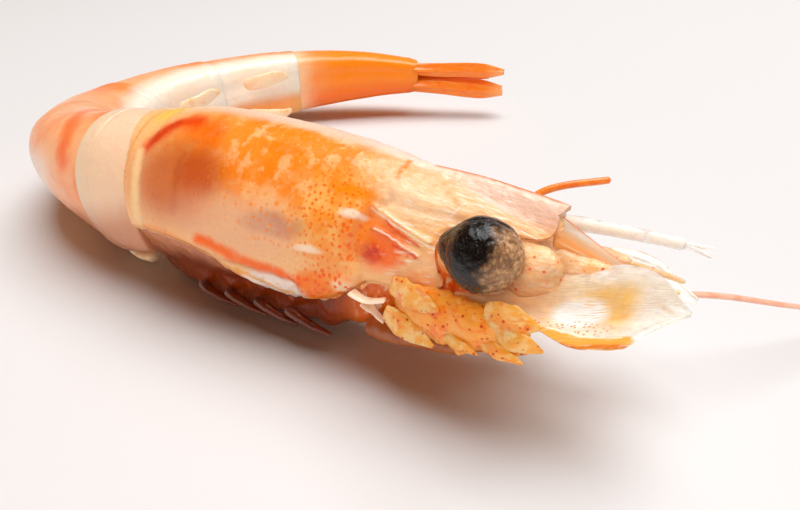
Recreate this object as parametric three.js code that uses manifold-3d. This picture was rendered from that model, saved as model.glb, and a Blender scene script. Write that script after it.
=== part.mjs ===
// A cooked whole prawn, lying curled on a flat surface, in millimetres with +Z up and the surface at z = 0.
// The body follows one middle line. Distances along it start at the orbit, the notch that the eye comes out
// of, and grow towards the tail. The head points to +X and -Y, the abdomen curls round behind it on its
// right side, and the tail fan comes back to +X. The origin is under the middle of the whole part's box.

import * as THREE from "three";
import { mergeVertices } from "three/addons/utils/BufferGeometryUtils.js";
import Module from "manifold-3d";

const wasm = await Module();
wasm.setup();

// ---- Driving dimensions ----

const CARAPACE_LENGTH = 28; // head shell, from the orbit to its rear edge
const RING_LENGTHS = [3.5, 12.2, 13.8, 13.5, 13, 18.5]; // what shows of the six rings of the abdomen
const TAIL_FAN_LENGTH = 14;
const SHELL = 0.7; // thickness of the head shell
const GAP = 0.3; // clear space between neighbouring pieces
const LIP = 1.4; // how far each ring's rear rim reaches over the next ring
const ORBIT = new THREE.Vector3(4.6, 3.6, 9.3); // the middle line at the orbit
const SNOUT_CRACK = 5.8; // where the snout is cracked through, ahead of the orbit
const SNOUT_REACH = 11.1; // the drooping tip of the snout, ahead of the orbit
const SNOUT_THICKNESS = 0.7;
const EYE_RADII = [2.55, 2.25, 2.2];
const RIGHT_EYE = [2.4, 4.6, 1.5]; // its centre, ahead of the orbit, to the right and towards the back
const LEFT_EYE = [1.6, -4.1, 1.2];
const SCALE_LENGTH = 13; // the flat antennal scale on each side of the snout
const SCALE_THICKNESS = 0.45;
const WHIP_RADIUS = 0.19; // the long antenna
const LEG_SIZE = [[0, 0.72], [0.4, 0.61], [0.8, 0.36], [1, 0.22]]; // half widths by the share of its length

// Each list below holds pairs: a distance along the middle line, and the value there.
const HEADING = [[0, 149], [30, 149], [36, 138], [44, 119], [52, 96], [60, 74], [69, 52], [78, 34], [87, 16],
  [96, 5], [105, 0], [120, -4]];
const BACK_LEAN = [[-12, -12], [18, -11], [30, 6], [38, 32], [48, 60], [58, 80], [70, 90], [122, 90]];
const MIDDLE_HEIGHT = [[-12, 10.2], [0, 9.3], [16, 8.3], [32, 7.2], [44, 6.2], [56, 5.1], [70, 5], [80, 5.3],
  [96, 6], [106, 5.7], [120, 5]];
const UP = [[-7, 1.6], [-3, 3.2], [0, 4.2], [8, 5.7], [20, 6.9], [30, 6.8], [40, 6.1], [54, 5.8], [70, 5.5],
  [86, 4.9], [100, 3.7], [104, 3.2]];
const DOWN = [[-7, 2.2], [-3, 3.8], [0, 5], [8, 6.6], [20, 7.2], [30, 6.4], [40, 5.6], [54, 5.5], [70, 5.3],
  [86, 4.6], [100, 3.5], [104, 3]];
const SIDE = [[-7, 1.6], [-3, 2.9], [0, 3.6], [8, 4.9], [20, 5.8], [30, 5.5], [40, 5.1], [54, 5.1], [70, 4.9],
  [86, 4.2], [100, 3], [104, 2.7]];

// The head shell's edges. The front and rear edges are distances for an angle from the back, in degrees, and
// the free lower edge is an angle for a distance.
const SHELL_FRONT = [[0, -1.5], [25, -0.5], [50, 1.6], [80, 2.6], [105, 3.4], [125, 7], [145, 8.6]];
const SHELL_REAR = [[0, 29.4], [40, 28.6], [80, 28], [108, 27]];
const SHELL_LOWER = [[2, 112], [6, 132], [10, 143], [14, 139], [19, 130], [24, 119], [28, 108]];

// The upper and lower edge of the snout and of its cracked tip: how far above the middle line they stand for
// a distance.
const SNOUT_TOP = [[-5.8, 4], [-3, 4.5], [0, 4.95], [4.5, 5.3], [11, 6]];
const SNOUT_FOOT = [[-5.8, 1.8], [0, 3.1], [4.5, 4.2], [11, 5.3]];
const TIP_TOP = [[-11.1, 0.15], [-5.4, 3.3]];
const TIP_FOOT = [[-11.1, -0.2], [-5.4, 1.2]];

// How high each antennal scale lies beside the head for a distance from its root, and how far it rises for
// each millimetre across, from its outer edge inwards.
const SCALE_HEIGHT = {
  right: [[0, -3.2], [6.5, -2.4], [13, -0.2]],
  left: [[0, -1.5], [4, -1.2], [7.4, 1.3], [13, 0.4]],
};
const SCALE_TILT = { right: 0.4, left: -0.3 };

// How far out each ring of the abdomen stands for an angle from the back: the side plates stick out and the
// belly between them is hollowed.
const RING_SECTION = [[0, 1], [90, 1], [112, 1.03], [128, 1.07], [142, 0.98], [158, 0.84], [180, 0.8]];

// How much further out the belly stands between the legs than the flesh beside it.
const BELLY_REACH = 1.42;

// The five pairs of swimming legs: how long each is, and how far it stands away from its ring. The first
// ones lie close, in the tight inside of the curl.
const SWIMMERETS = [[5, 0.2], [6, 1], [7, 1.9], [7.6, 1.9], [7.6, 1.7]];
const SWIMMERET_CLEAR = 1; // the least height of their middle over the surface

const ORANGE = 0xe8893a;
const PALE = 0xf3d9bd;

// ---- Middle line ----

const DEGREE = Math.PI / 180;
const LINE_STEP = 0.5;
const { smoothstep, lerp } = THREE.MathUtils;

// The value of a list of pairs at a place along it, changing smoothly from pair to pair.
function valueAt(pairs, place) {
  const next = pairs.findIndex(([at]) => at > place);
  if (next === 0) return pairs[0][1];
  if (next < 0) return pairs[pairs.length - 1][1];
  const slope = (from, to) => (pairs[to][1] - pairs[from][1]) / (pairs[to][0] - pairs[from][0]);
  const first = slope(Math.max(next - 2, 0), next);
  const last = slope(next - 1, Math.min(next + 1, pairs.length - 1));
  const [before, low] = pairs[next - 1];
  const [after, high] = pairs[next];
  const span = after - before;
  const share = (place - before) / span;
  const square = share * share;
  const cube = square * share;
  const ends = (2 * cube - 3 * square + 1) * low + (3 * square - 2 * cube) * high;
  return ends + ((cube - 2 * square + share) * first + (cube - square) * last) * span;
}

// Plan positions of the middle line, walked outwards from the orbit in steps of LINE_STEP.
function walk(to) {
  const points = [new THREE.Vector2(ORBIT.x, ORBIT.y)];
  const step = Math.sign(to) * LINE_STEP;
  for (let distance = 0; Math.abs(distance) < Math.abs(to); distance += step) {
    const angle = valueAt(HEADING, distance + step / 2) * DEGREE;
    const move = new THREE.Vector2(Math.cos(angle), Math.sin(angle)).multiplyScalar(step);
    points.push(points[points.length - 1].clone().add(move));
  }
  return points;
}

const BEHIND = walk(122);
const AHEAD = walk(-30);

// Where the middle line is, which way it runs to the tail, and where the back and the right side lie.
function frameAt(distance) {
  const points = distance < 0 ? AHEAD : BEHIND;
  const place = Math.abs(distance) / LINE_STEP;
  const index = Math.min(Math.floor(place), points.length - 2);
  const plan = points[index].clone().lerp(points[index + 1], place - index);
  const angle = valueAt(HEADING, distance) * DEGREE;
  const lean = valueAt(BACK_LEAN, distance) * DEGREE;
  const tailward = new THREE.Vector3(Math.cos(angle), Math.sin(angle), 0);
  const outward = new THREE.Vector3(-Math.sin(angle), Math.cos(angle), 0);
  const back = new THREE.Vector3(0, 0, Math.cos(lean)).addScaledVector(outward, Math.sin(lean));
  const right = new THREE.Vector3().crossVectors(back, tailward);
  return { at: new THREE.Vector3(plan.x, plan.y, valueAt(MIDDLE_HEIGHT, distance)), tailward, back, right };
}

// A point by its offsets in millimetres from the middle line, towards the right side and towards the back.
function besideLine(distance, toRight, toBack) {
  const { at, back, right } = frameAt(distance);
  return at.addScaledVector(right, toRight).addScaledVector(back, toBack);
}

// A point of the body by its angle from the back, positive to the right. A reach of 1 is the outer surface.
function bodyPoint(distance, degrees, reach = 1) {
  const toBack = Math.cos(degrees * DEGREE);
  const height = valueAt(toBack > 0 ? UP : DOWN, distance);
  const side = valueAt(SIDE, distance);
  return besideLine(distance, Math.sin(degrees * DEGREE) * side * reach, toBack * height * reach);
}

// A point of the head, in millimetres ahead of the orbit, to its right and towards its back.
function headPoint(ahead, toRight, toBack) {
  const { at, tailward, right, back } = frameAt(0);
  return at.addScaledVector(tailward, -ahead).addScaledVector(right, toRight).addScaledVector(back, toBack);
}

// ---- Solids ----

const pieces = new THREE.Group();

// Moves every vertex of a geometry by a function, joins the seams and makes the faces point out. Nothing goes
// below the surface that the prawn lies on, which gives the body its flat resting spots.
function shaped(geometry, place) {
  geometry.deleteAttribute("normal");
  geometry.deleteAttribute("uv");
  const position = geometry.attributes.position;
  for (let index = 0; index < position.count; index += 1) {
    const point = place(new THREE.Vector3().fromBufferAttribute(position, index));
    position.setXYZ(index, point.x, point.y, Math.max(point.z, 0));
  }
  return facingOut(mergeVertices(geometry, 1e-4));
}

// Drops the triangles that have closed up and turns the rest round if they enclose a negative volume.
function facingOut(geometry) {
  const { array } = geometry.index;
  const corner = (index) => new THREE.Vector3().fromBufferAttribute(geometry.attributes.position, index);
  const kept = [];
  let volume = 0;
  for (let index = 0; index < array.length; index += 3) {
    const [a, b, c] = array.slice(index, index + 3);
    if (a === b || b === c || a === c) continue;
    kept.push([a, b, c]);
    volume += corner(a).dot(corner(b).cross(corner(c)));
  }
  geometry.setIndex((volume < 0 ? kept.map(([a, b, c]) => [a, c, b]) : kept).flat());
  return geometry;
}

function toSolid(geometry) {
  const vertProperties = new Float32Array(geometry.attributes.position.array);
  const triVerts = new Uint32Array(geometry.index.array);
  return new wasm.Manifold(new wasm.Mesh({ numProp: 3, vertProperties, triVerts }));
}

function fromSolid(solid) {
  const { vertProperties, triVerts } = solid.getMesh();
  const geometry = new THREE.BufferGeometry();
  geometry.setAttribute("position", new THREE.BufferAttribute(vertProperties, 3));
  geometry.setIndex([...triVerts]);
  return geometry;
}

function add(name, geometry, color, roughness = 0.35) {
  const mesh = new THREE.Mesh(geometry, new THREE.MeshStandardMaterial({ color, roughness, metalness: 0 }));
  mesh.name = name;
  pieces.add(mesh);
}

// A round or flattened limb along a curve through points. Its half width and half thickness are pairs of
// a share of its length and a size. The thickness lies along the reference direction as far as it can.
function limb(points, halfWidth, halfThickness, sides, steps, reference = new THREE.Vector3(0, 0, 1)) {
  const curve = new THREE.CatmullRomCurve3(points, false, "centripetal");
  return shaped(new THREE.CylinderGeometry(1, 1, 1, sides, steps), (point) => {
    const share = point.y + 0.5;
    const tangent = curve.getTangentAt(share);
    const across = new THREE.Vector3().crossVectors(reference, tangent).normalize();
    const through = new THREE.Vector3().crossVectors(tangent, across);
    return curve.getPointAt(share).addScaledVector(across, point.x * valueAt(halfWidth, share))
      .addScaledVector(through, point.z * valueAt(halfThickness, share));
  });
}

// A thin plate. Its two long edges are pairs of a share of its length and a distance across, and place turns
// a point along, across and through it into a point of the part.
function plate(length, nearEdge, farEdge, thickness, steps, rows, place) {
  return shaped(new THREE.BoxGeometry(1, 1, 1, steps, rows, 1), (point) => {
    const share = point.x + 0.5;
    const across = lerp(valueAt(nearEdge, share), valueAt(farEdge, share), point.y + 0.5);
    return place(share * length, across, point.z * thickness);
  });
}

// ---- Head ----

// Half the head shell's angle at a share of its length, and the distance that a share stands for at an angle.
function shellPlace(share, side) {
  const nominal = lerp(2, CARAPACE_LENGTH, share);
  const degrees = side * valueAt(SHELL_LOWER, nominal);
  const front = valueAt(SHELL_FRONT, Math.abs(degrees));
  const rear = valueAt(SHELL_REAR, Math.abs(degrees));
  return { degrees, distance: lerp(front, rear, share) };
}

// The shell that covers the thorax, open below, with a ridge along its back that runs out into the snout.
function headShell() {
  const shell = shaped(new THREE.BoxGeometry(1, 1, 1, 22, 26, 1), (point) => {
    const { degrees, distance } = shellPlace(point.x + 0.5, point.y * 2);
    const inward = (0.5 - point.z) * SHELL;
    const outer = bodyPoint(distance, degrees);
    return outer.addScaledVector(frameAt(distance).at.sub(outer).normalize(), inward);
  });
  return fromSolid(toSolid(shell).add(snout()));
}

// The snout is a blade on edge that grows out of the shell's back, and is cracked through near its middle.
// The tip still hangs on the lower part of the crack and droops.
function snout(grown = 0) {
  const [top, foot] = [SNOUT_TOP, SNOUT_FOOT];
  const blade = snoutPart(-SNOUT_CRACK, top[top.length - 1][0], top, foot, 10, grown);
  return blade.add(snoutPart(-SNOUT_REACH, TIP_TOP[1][0], TIP_TOP, TIP_FOOT, 3, grown));
}

function snoutPart(from, to, top, foot, steps, grown) {
  const edge = (share) => [[0, share], [1, share]];
  const thickness = SNOUT_THICKNESS + grown * 2;
  return toSolid(plate(to - from, edge(0), edge(1), thickness, steps, 2, (along, across, through) => {
    const distance = from + along;
    const low = valueAt(foot, distance) - grown;
    return besideLine(distance, through, lerp(low, valueAt(top, distance), across));
  }));
}

// The flesh under the head shell, the block that carries the eyes and antennae, and the belly with the roots
// of the legs, which reaches down past the shell's free edges to the surface.
function thorax() {
  const outline = [[0, -5.2], [0.5, -5], [0.74, -4], [0.78, -2.4], [0.7, 0], [0.74, 4], [0.78, 9], [0.8, 16],
    [0.81, 22], [0.8, 26.5], [0, CARAPACE_LENGTH - 0.1]];
  const profile = outline.map(([reach, distance]) => new THREE.Vector2(reach, distance));
  const flesh = shaped(new THREE.LatheGeometry(profile, 24), (point) => {
    const degrees = Math.atan2(point.x, point.z) / DEGREE;
    const belly = smoothstep(Math.abs(degrees), 138, 168) * smoothstep(point.y, 2, 10);
    const reach = Math.hypot(point.x, point.z) * lerp(1, BELLY_REACH, belly);
    return bodyPoint(point.y, degrees, reach);
  });
  return fromSolid(toSolid(flesh).subtract(snout(GAP)).subtract(eye(1, GAP)).subtract(eye(-1, GAP)));
}

// An eye: a ball on a short stalk that stands out from the side of the head. Grown is added all round.
function eye(side, grown = 0) {
  const [ahead, toRight, toBack] = side > 0 ? RIGHT_EYE : LEFT_EYE;
  const [long, wide, high] = EYE_RADII.map((radius) => radius + grown);
  const ball = shaped(new THREE.SphereGeometry(1, 18, 12), ({ x, y, z }) =>
    headPoint(ahead + x * long, toRight + y * wide, toBack + z * high));
  const radius = [[0, 1 + grown], [1, 1.3 + grown]];
  const root = headPoint(ahead - 1.4, side * (2.2 - grown), toBack - 1.2);
  return toSolid(ball).add(toSolid(limb([root, headPoint(ahead, toRight, toBack)], radius, radius, 12, 2)));
}

// The first antenna: three thick joints, one on each side of the snout's tip, and two short flagella.
function antennule(side) {
  const stem = [[5.6, 1.6, 1.1], [7.6, 1.55, 1.15], [9.8, 1.45, 1.2]]
    .map(([ahead, outward, toBack]) => headPoint(ahead, side * outward, toBack));
  const base = limb(stem, [[0, 0.95], [0.5, 0.85], [1, 0.6]], [[0, 1], [0.5, 0.85], [1, 0.6]], 10, 5);
  const size = [[0, 0.3], [1, 0.13]];
  const feelers = [0.3, -0.3].map((spread) => {
    const root = stem[1].clone().lerp(stem[2], 0.7).add(new THREE.Vector3(0, 0, spread * 0.4));
    const middle = headPoint(11.4, side * 1.3, 0.9 + spread * 1.4);
    return limb([root, middle, headPoint(12.8, side * 1.2, 0.6 + spread * 2)], size, size, 6, 5);
  });
  return fromSolid(feelers.reduce((solid, feeler) => solid.add(toSolid(feeler)), toSolid(base)));
}

// The antennal scale: a thin blade with a straight outer edge that ends in a point, and a rounded inner
// lamina that reaches further forward. The right one curls up towards its end, and the left one bows up.
function scale(name, side) {
  const outer = [[0, 2.3], [0.3, 2.1], [0.5, 0.7], [0.6, 0.1], [0.8, 0], [0.87, 1], [1, 2.4]];
  const inner = [[0, 2.9], [0.25, 3.6], [0.45, 4.4], [0.7, 4.2], [0.85, 3.8], [1, 2.8]];
  return plate(SCALE_LENGTH, outer, inner, SCALE_THICKNESS, 12, 4, (along, across, through) => {
    const height = valueAt(SCALE_HEIGHT[name], along) + across * SCALE_TILT[name] - (across - 2) ** 2 * 0.05;
    return headPoint(along + 0.6, side * (5 - across * 0.8), height + through);
  });
}

// The stout base joints of the second antenna, under the eye. The right one is torn off ragged at its end.
function antennaBase(side, torn) {
  const line = [[-3.2, 3.5, -3.7], [1.5, 4.1, -3.6], [5.8, 4.1, -3.4]]
    .map(([ahead, outward, toBack]) => headPoint(ahead, side * outward, toBack));
  const width = [[0, 0.7], [0.2, 1.3], [0.6, 1.35], [0.8, 1.05], [1, torn ? 0.95 : 0.8]];
  const curve = new THREE.CatmullRomCurve3(line);
  const { tailward, right, back } = frameAt(0);
  return shaped(new THREE.CylinderGeometry(1, 1, 1, 14, 8), ({ x, y, z }) => {
    const turn = Math.atan2(z, x);
    const ragged = torn && y > 0.49 ? 0.8 * Math.sin(turn * 5) + 0.45 * Math.sin(turn * 3 + 1) : 0;
    const size = valueAt(width, y + 0.5);
    return curve.getPoint(y + 0.5).addScaledVector(tailward, -ragged * Math.hypot(x, z))
      .addScaledVector(right, x * size * 0.7).addScaledVector(back, z * size);
  });
}

// The whip of the left second antenna, drooping from its base to the surface.
function longAntenna() {
  const route = [headPoint(6.4, -4, -3.4), headPoint(9.5, -4.6, -2.9), new THREE.Vector3(18.6, 2.1, 6.8),
    new THREE.Vector3(28.4, 4.6, 4.1), new THREE.Vector3(37, 8, 1.4),
    new THREE.Vector3(46, 12.5, WHIP_RADIUS)];
  const size = [[0, WHIP_RADIUS * 1.3], [0.5, WHIP_RADIUS], [1, WHIP_RADIUS * 0.7]];
  return limb(route, size, size, 6, 26);
}

// A broken piece of feeler that stands up behind the snout, from the left antenna's base.
function feelerStub() {
  const route = [headPoint(3.9, -6.7, -2.2), new THREE.Vector3(9.6, 9.7, 10.9),
    new THREE.Vector3(11.8, 8.9, 11.7), new THREE.Vector3(14.9, 8.9, 12)];
  const size = [[0, 0.3], [1, 0.26]];
  return limb(route, size, size, 8, 8);
}

// A third maxilliped, the leg-like mouthpart that lies along the underside of the head.
function maxilliped(side) {
  const route = [besideLine(6, side * 1.9, -6.5), headPoint(-3, side * 2.3, -6.1),
    headPoint(0.5, side * 2.3, -5.6), headPoint(4, side * 1.5, -4.9)];
  const width = [[0, 0.7], [0.2, 1], [0.6, 0.9], [1, 0.4]];
  const thickness = [[0, 0.6], [0.2, 0.8], [0.6, 0.7], [1, 0.3]];
  return limb(route, width, thickness, 10, 8);
}

// The front left leg, which reaches out past the head and ends in a small pair of claws.
function reachingLeg() {
  const route = [besideLine(10, -3.1, -6.1), new THREE.Vector3(1.5, 15.2, 4.4),
    new THREE.Vector3(6, 13.6, 6.6), new THREE.Vector3(9.5, 10.9, 8.1), new THREE.Vector3(12.9, 7.9, 9),
    new THREE.Vector3(17, 4.9, 9.5), new THREE.Vector3(18.9, 3.9, 9.5)];
  const size = [[0, 0.75], [0.4, 0.6], [0.8, 0.5], [1, 0.4]];
  const clawSize = [[0, 0.26], [1, 0.1]];
  const claws = [new THREE.Vector3(20.4, 3.2, 9.6), new THREE.Vector3(20.1, 2.9, 9.1)].map((tip) => limb(
    [route[5].clone().lerp(route[6], 0.7), route[6].clone().lerp(tip, 0.5), tip], clawSize, clawSize, 6, 3));
  const arm = toSolid(limb(route, size, size, 8, 16));
  return fromSolid(claws.reduce((solid, claw) => solid.add(toSolid(claw)), arm));
}

// A left walking leg: out from the belly, a bend at the knee, and down to the surface. Reach is how far out
// the knee stands, and swing how far ahead of its root the foot comes down.
function leg(root, reach, swing) {
  const foot = besideLine(root - swing, -(reach + 1.5), 0).setZ(0);
  const route = [besideLine(root, -3.1, -6.5), besideLine(root - swing * 0.35, -reach, -5.9),
    besideLine(root - swing * 0.7, -(reach + 1.2), -6.3), foot];
  return limb(route, LEG_SIZE, LEG_SIZE, 7, 12);
}

// A leg of the right side, folded forward against the belly and out of the way of the head shell's edge.
function foldedLeg(root) {
  const size = LEG_SIZE.map(([share, half]) => [share, half * 0.75]);
  const route = [besideLine(root, 3.1, -6.5), besideLine(root - 1, 3.8, -6.6),
    besideLine(root - 2.4, 3.7, -7.3), besideLine(root - 3.8, 3.3, -7.8)];
  return limb(route, size, size, 7, 8);
}

// A strip of white membrane torn loose at the front lower corner of the head shell.
function tornStrip(distance, degrees, along, fall) {
  const start = bodyPoint(distance, degrees, 1.06);
  const middle = bodyPoint(distance - along * 0.5, degrees + 2, 1.14);
  const end = bodyPoint(distance - along, degrees, 1.1).add(new THREE.Vector3(0, 0, fall));
  return limb([start, middle, end], [[0, 0.42], [1, 0.3]], [[0, 0.12], [1, 0.1]], 6, 6);
}

// ---- Abdomen ----

// One ring: a body with a thin rim that reaches back over the next ring, whose front is narrower.
function ring(start, end) {
  const length = end - start;
  const bare = length - LIP;
  const profile = [[0, GAP], [0.84, GAP], [0.86, LIP], [0.95, LIP + 0.6], [0.99, LIP + bare * 0.3],
    [1, LIP + bare * 0.62], [1.02, length], [1.03, length + LIP], [0.95, length + LIP], [0.94, length],
    [0, length]];
  const points = profile.map(([reach, along]) => new THREE.Vector2(reach, start + along));
  return shaped(new THREE.LatheGeometry(points, 24), (point) => {
    const degrees = Math.atan2(point.x, point.z) / DEGREE;
    const reach = Math.hypot(point.x, point.z) * valueAt(RING_SECTION, Math.abs(degrees));
    return bodyPoint(point.y, degrees, reach);
  });
}

// A swimming leg: a short stalk below its ring with a long paddle that trails towards the tail.
function swimmeret(distance, side, [length, away]) {
  const depth = valueAt(DOWN, distance) * 0.84 + 0.4 + GAP;
  const spread = valueAt(SIDE, distance);
  const route = [besideLine(distance, side * spread * 0.42, -depth),
    besideLine(distance + length * 0.3, side * spread * 0.5, -depth - away * 0.85),
    besideLine(distance + length * 0.68, side * spread * 0.55, -depth - away),
    besideLine(distance + length, side * spread * 0.5, -depth - away * 0.7)]
    .map((point) => point.setZ(Math.max(point.z, SWIMMERET_CLEAR)));
  const width = [[0, 0.75], [0.35, 0.95], [0.7, 0.8], [1, 0.25]];
  const thickness = [[0, 0.6], [0.35, 0.4], [1, 0.16]];
  return limb(route, width, thickness, 8, 7, frameAt(distance).back);
}

// ---- Tail fan ----

const FAN_START = CARAPACE_LENGTH + RING_LENGTHS.reduce((sum, length) => sum + length, 0);

// The pointed middle piece of the tail fan.
function telson() {
  const half = [[0, 1.35], [0.5, 1], [0.9, 0.3], [1, 0.12]];
  const other = half.map(([share, size]) => [share, -size]);
  return plate(TAIL_FAN_LENGTH - 2, other, half, 1.1, 8, 2, (along, across, through) => {
    const toBack = 1.35 - along * 0.05 + through * lerp(1, 0.4, along / TAIL_FAN_LENGTH);
    return besideLine(FAN_START + GAP + along, across, toBack);
  });
}

// One blade of the fan. The inner blade lies against the telson and the outer one under it, and both spread
// towards their ends.
function uropod(side, outerBlade) {
  const from = outerBlade ? 0.8 : 0.4;
  const layer = outerBlade ? -1.35 : -0.1;
  const inner = [[0, 0], [0.3, -0.1], [0.8, -0.4], [1, 0.2]];
  const outer = [[0, 1], [0.3, 1.2], [0.75, 1.6], [1, 0.9]];
  return plate(TAIL_FAN_LENGTH, inner, outer, 0.7, 9, 3, (along, across, through) => {
    const bow = -0.06 * (across - 0.8) ** 2 * (outerBlade ? 1 : 0.6);
    return besideLine(FAN_START + GAP + along, side * (from + across + along * 0.02), layer + bow + through);
  });
}

// ---- The whole prawn ----

const SIDES = [["right", 1], ["left", -1]];

add("head_shell", headShell(), ORANGE, 0.25);
add("thorax", thorax(), PALE, 0.4);
for (const [name, side] of SIDES) {
  add(`eye_${name}`, fromSolid(eye(side)), 0x2a211f, 0.08);
  add(`antennule_${name}`, antennule(side), PALE);
  add(`scale_${name}`, scale(name, side), PALE, 0.2);
  add(`antenna_base_${name}`, antennaBase(side, side > 0), ORANGE);
  add(`maxilliped_${name}`, maxilliped(side), PALE);
}
add("antenna_whip", longAntenna(), 0xe8987c);
add("feeler_stub", feelerStub(), ORANGE);
add("leg_left_1", reachingLeg(), PALE);
const legs = [[12.5, 8.6, 6], [15.6, 9.4, 3], [18.7, 10, -1.5], [21.8, 10.2, -5]];
legs.forEach(([root, reach, swing], index) => {
  add(`leg_left_${index + 2}`, leg(root, reach, swing), PALE);
  add(`leg_right_${index + 2}`, foldedLeg(root), PALE);
});
add("torn_strip_1", tornStrip(6.2, 118, 2.6, -0.2), PALE);
add("torn_strip_2", tornStrip(5.4, 126, 1.6, -1.2), PALE);

let ringStart = CARAPACE_LENGTH;
RING_LENGTHS.forEach((length, index) => {
  add(`abdomen_${index + 1}`, ring(ringStart, ringStart + length), ORANGE, 0.3);
  if (index < 5) {
    for (const [name, side] of SIDES) {
      const root = ringStart + Math.min(length * 0.45, 4.5);
      add(`swimmeret_${name}_${index + 1}`, swimmeret(root, side, SWIMMERETS[index]), PALE);
    }
  }
  ringStart += length;
});

add("telson", telson(), ORANGE);
for (const [name, side] of SIDES) {
  add(`uropod_${name}_inner`, uropod(side, false), ORANGE);
  add(`uropod_${name}_outer`, uropod(side, true), ORANGE);
}

// The whole part stands over the origin.
const box = new THREE.Box3().setFromObject(pieces);
const middle = box.getCenter(new THREE.Vector3());
pieces.position.set(-middle.x, -middle.y, -box.min.z);
pieces.updateMatrixWorld(true);

export default pieces;
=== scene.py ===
import math

import bpy
import numpy as np
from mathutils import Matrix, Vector, noise


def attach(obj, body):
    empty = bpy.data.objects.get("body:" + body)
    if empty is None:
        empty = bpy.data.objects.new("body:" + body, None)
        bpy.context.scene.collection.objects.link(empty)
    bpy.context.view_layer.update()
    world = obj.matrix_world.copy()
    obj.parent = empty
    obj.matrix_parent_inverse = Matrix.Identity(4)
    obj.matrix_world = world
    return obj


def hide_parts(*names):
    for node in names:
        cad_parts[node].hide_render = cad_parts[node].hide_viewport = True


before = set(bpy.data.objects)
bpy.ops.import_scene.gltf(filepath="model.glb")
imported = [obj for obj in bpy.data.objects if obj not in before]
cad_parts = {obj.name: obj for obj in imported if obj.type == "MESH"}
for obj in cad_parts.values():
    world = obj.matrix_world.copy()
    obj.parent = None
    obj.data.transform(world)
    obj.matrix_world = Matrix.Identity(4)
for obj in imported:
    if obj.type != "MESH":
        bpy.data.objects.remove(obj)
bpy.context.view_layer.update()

# ---- Camera ----
# The view from in front of the prawn's right side and a little above it. It stands free in front of the
# head and looks down at the worktop by thirty degrees.

MM = 0.001
# What is added to every point, in millimetres, to bring the prawn's own middle over the frame's origin.
MIDDLE = np.array([-3.3373, -30.434, 0])
CAMERA_AHEAD = 31.6
CAMERA_HEIGHT = 29.25
CAMERA_TILT = 60
CAMERA_LENS = 27.9
CAMERA_SENSOR = 36
CAMERA_NEAREST = 0.002

camera_at = (MIDDLE[0] * MM, (MIDDLE[1] - CAMERA_AHEAD) * MM, CAMERA_HEIGHT * MM)
bpy.ops.object.camera_add(location=camera_at, rotation=(math.radians(CAMERA_TILT), 0, 0))
camera = bpy.context.object
camera.data.lens = CAMERA_LENS
camera.data.sensor_width = CAMERA_SENSOR
camera.data.clip_start = CAMERA_NEAREST
bpy.context.scene.camera = camera

# ---- Worktop and light ----
# A plain white worktop in a warm, dim room. One large window of cool light stands high over the prawn and a
# little behind it, and a pale board in front of the prawn sends warm light back on to it alone.

WORKTOP_SIZE = 2.4
WORKTOP_DROP = 0.00002
WALLS = (0.5, 0.46, 0.43, 1)
CEILING = (0.15, 0.062, 0.022, 1)
WALLS_END, CEILING_START = 0.06, 0.36

bpy.ops.mesh.primitive_plane_add(size=WORKTOP_SIZE, location=(0, 0, -WORKTOP_DROP))
floor = bpy.context.object
floor.name = "worktop"
worktop = bpy.data.materials.new("worktop")
worktop.use_nodes = True
worktop_shader = worktop.node_tree.nodes["Principled BSDF"]
worktop_shader.inputs["Base Color"].default_value = (0.9, 0.9, 0.9, 1)
worktop_shader.inputs["Roughness"].default_value = 0.55
floor.data.materials.append(worktop)

prawn = bpy.data.collections.new("prawn")


def area_light(name, place, size, power, colour, only_prawn=False):
    """A square lamp that looks at the origin. It can be kept to the pieces of the prawn's collection."""
    bpy.ops.object.light_add(type="AREA", location=place)
    lamp = bpy.context.object
    lamp.name = name
    lamp.rotation_euler = (-Vector(place)).to_track_quat("-Z", "Y").to_euler()
    lamp.data.size = size
    lamp.data.energy = power
    lamp.data.color = colour
    if only_prawn:
        lamp.light_linking.receiver_collection = prawn
        lamp.visible_glossy = False


area_light("window", (0.20, 0.13, 0.87), 0.8, 10.3, (0.94, 0.98, 1.0))
area_light("reflector", (-0.14, -0.44, 0.40), 0.4, 2.0, (1.0, 0.88, 0.76), only_prawn=True)

world = bpy.data.worlds.new("room")
bpy.context.scene.world = world
world.use_nodes = True
room = world.node_tree
direction = room.nodes.new("ShaderNodeSeparateXYZ")
room.links.new(room.nodes.new("ShaderNodeTexCoord").outputs["Generated"], direction.inputs[0])
height = room.nodes.new("ShaderNodeMapRange")
room.links.new(direction.outputs["Z"], height.inputs["Value"])
height.inputs["From Min"].default_value = WALLS_END
height.inputs["From Max"].default_value = CEILING_START
room_colour = room.nodes.new("ShaderNodeMix")
room_colour.data_type = "RGBA"
room.links.new(height.outputs[0], room_colour.inputs[0])
room_colour.inputs[6].default_value = WALLS
room_colour.inputs[7].default_value = CEILING
room.links.new(room_colour.outputs[2], room.nodes["Background"].inputs["Color"])
bpy.context.scene.view_settings.view_transform = "Standard"
bpy.context.scene.view_settings.look = "None"

# ---- Flesh of the head and thorax ----
# The soft body under the head shell, cooked firm and pale: the block of the head between the eyes, the
# flank where the shell stands open, and the belly. It is one closed surface round the body's middle line.

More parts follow.
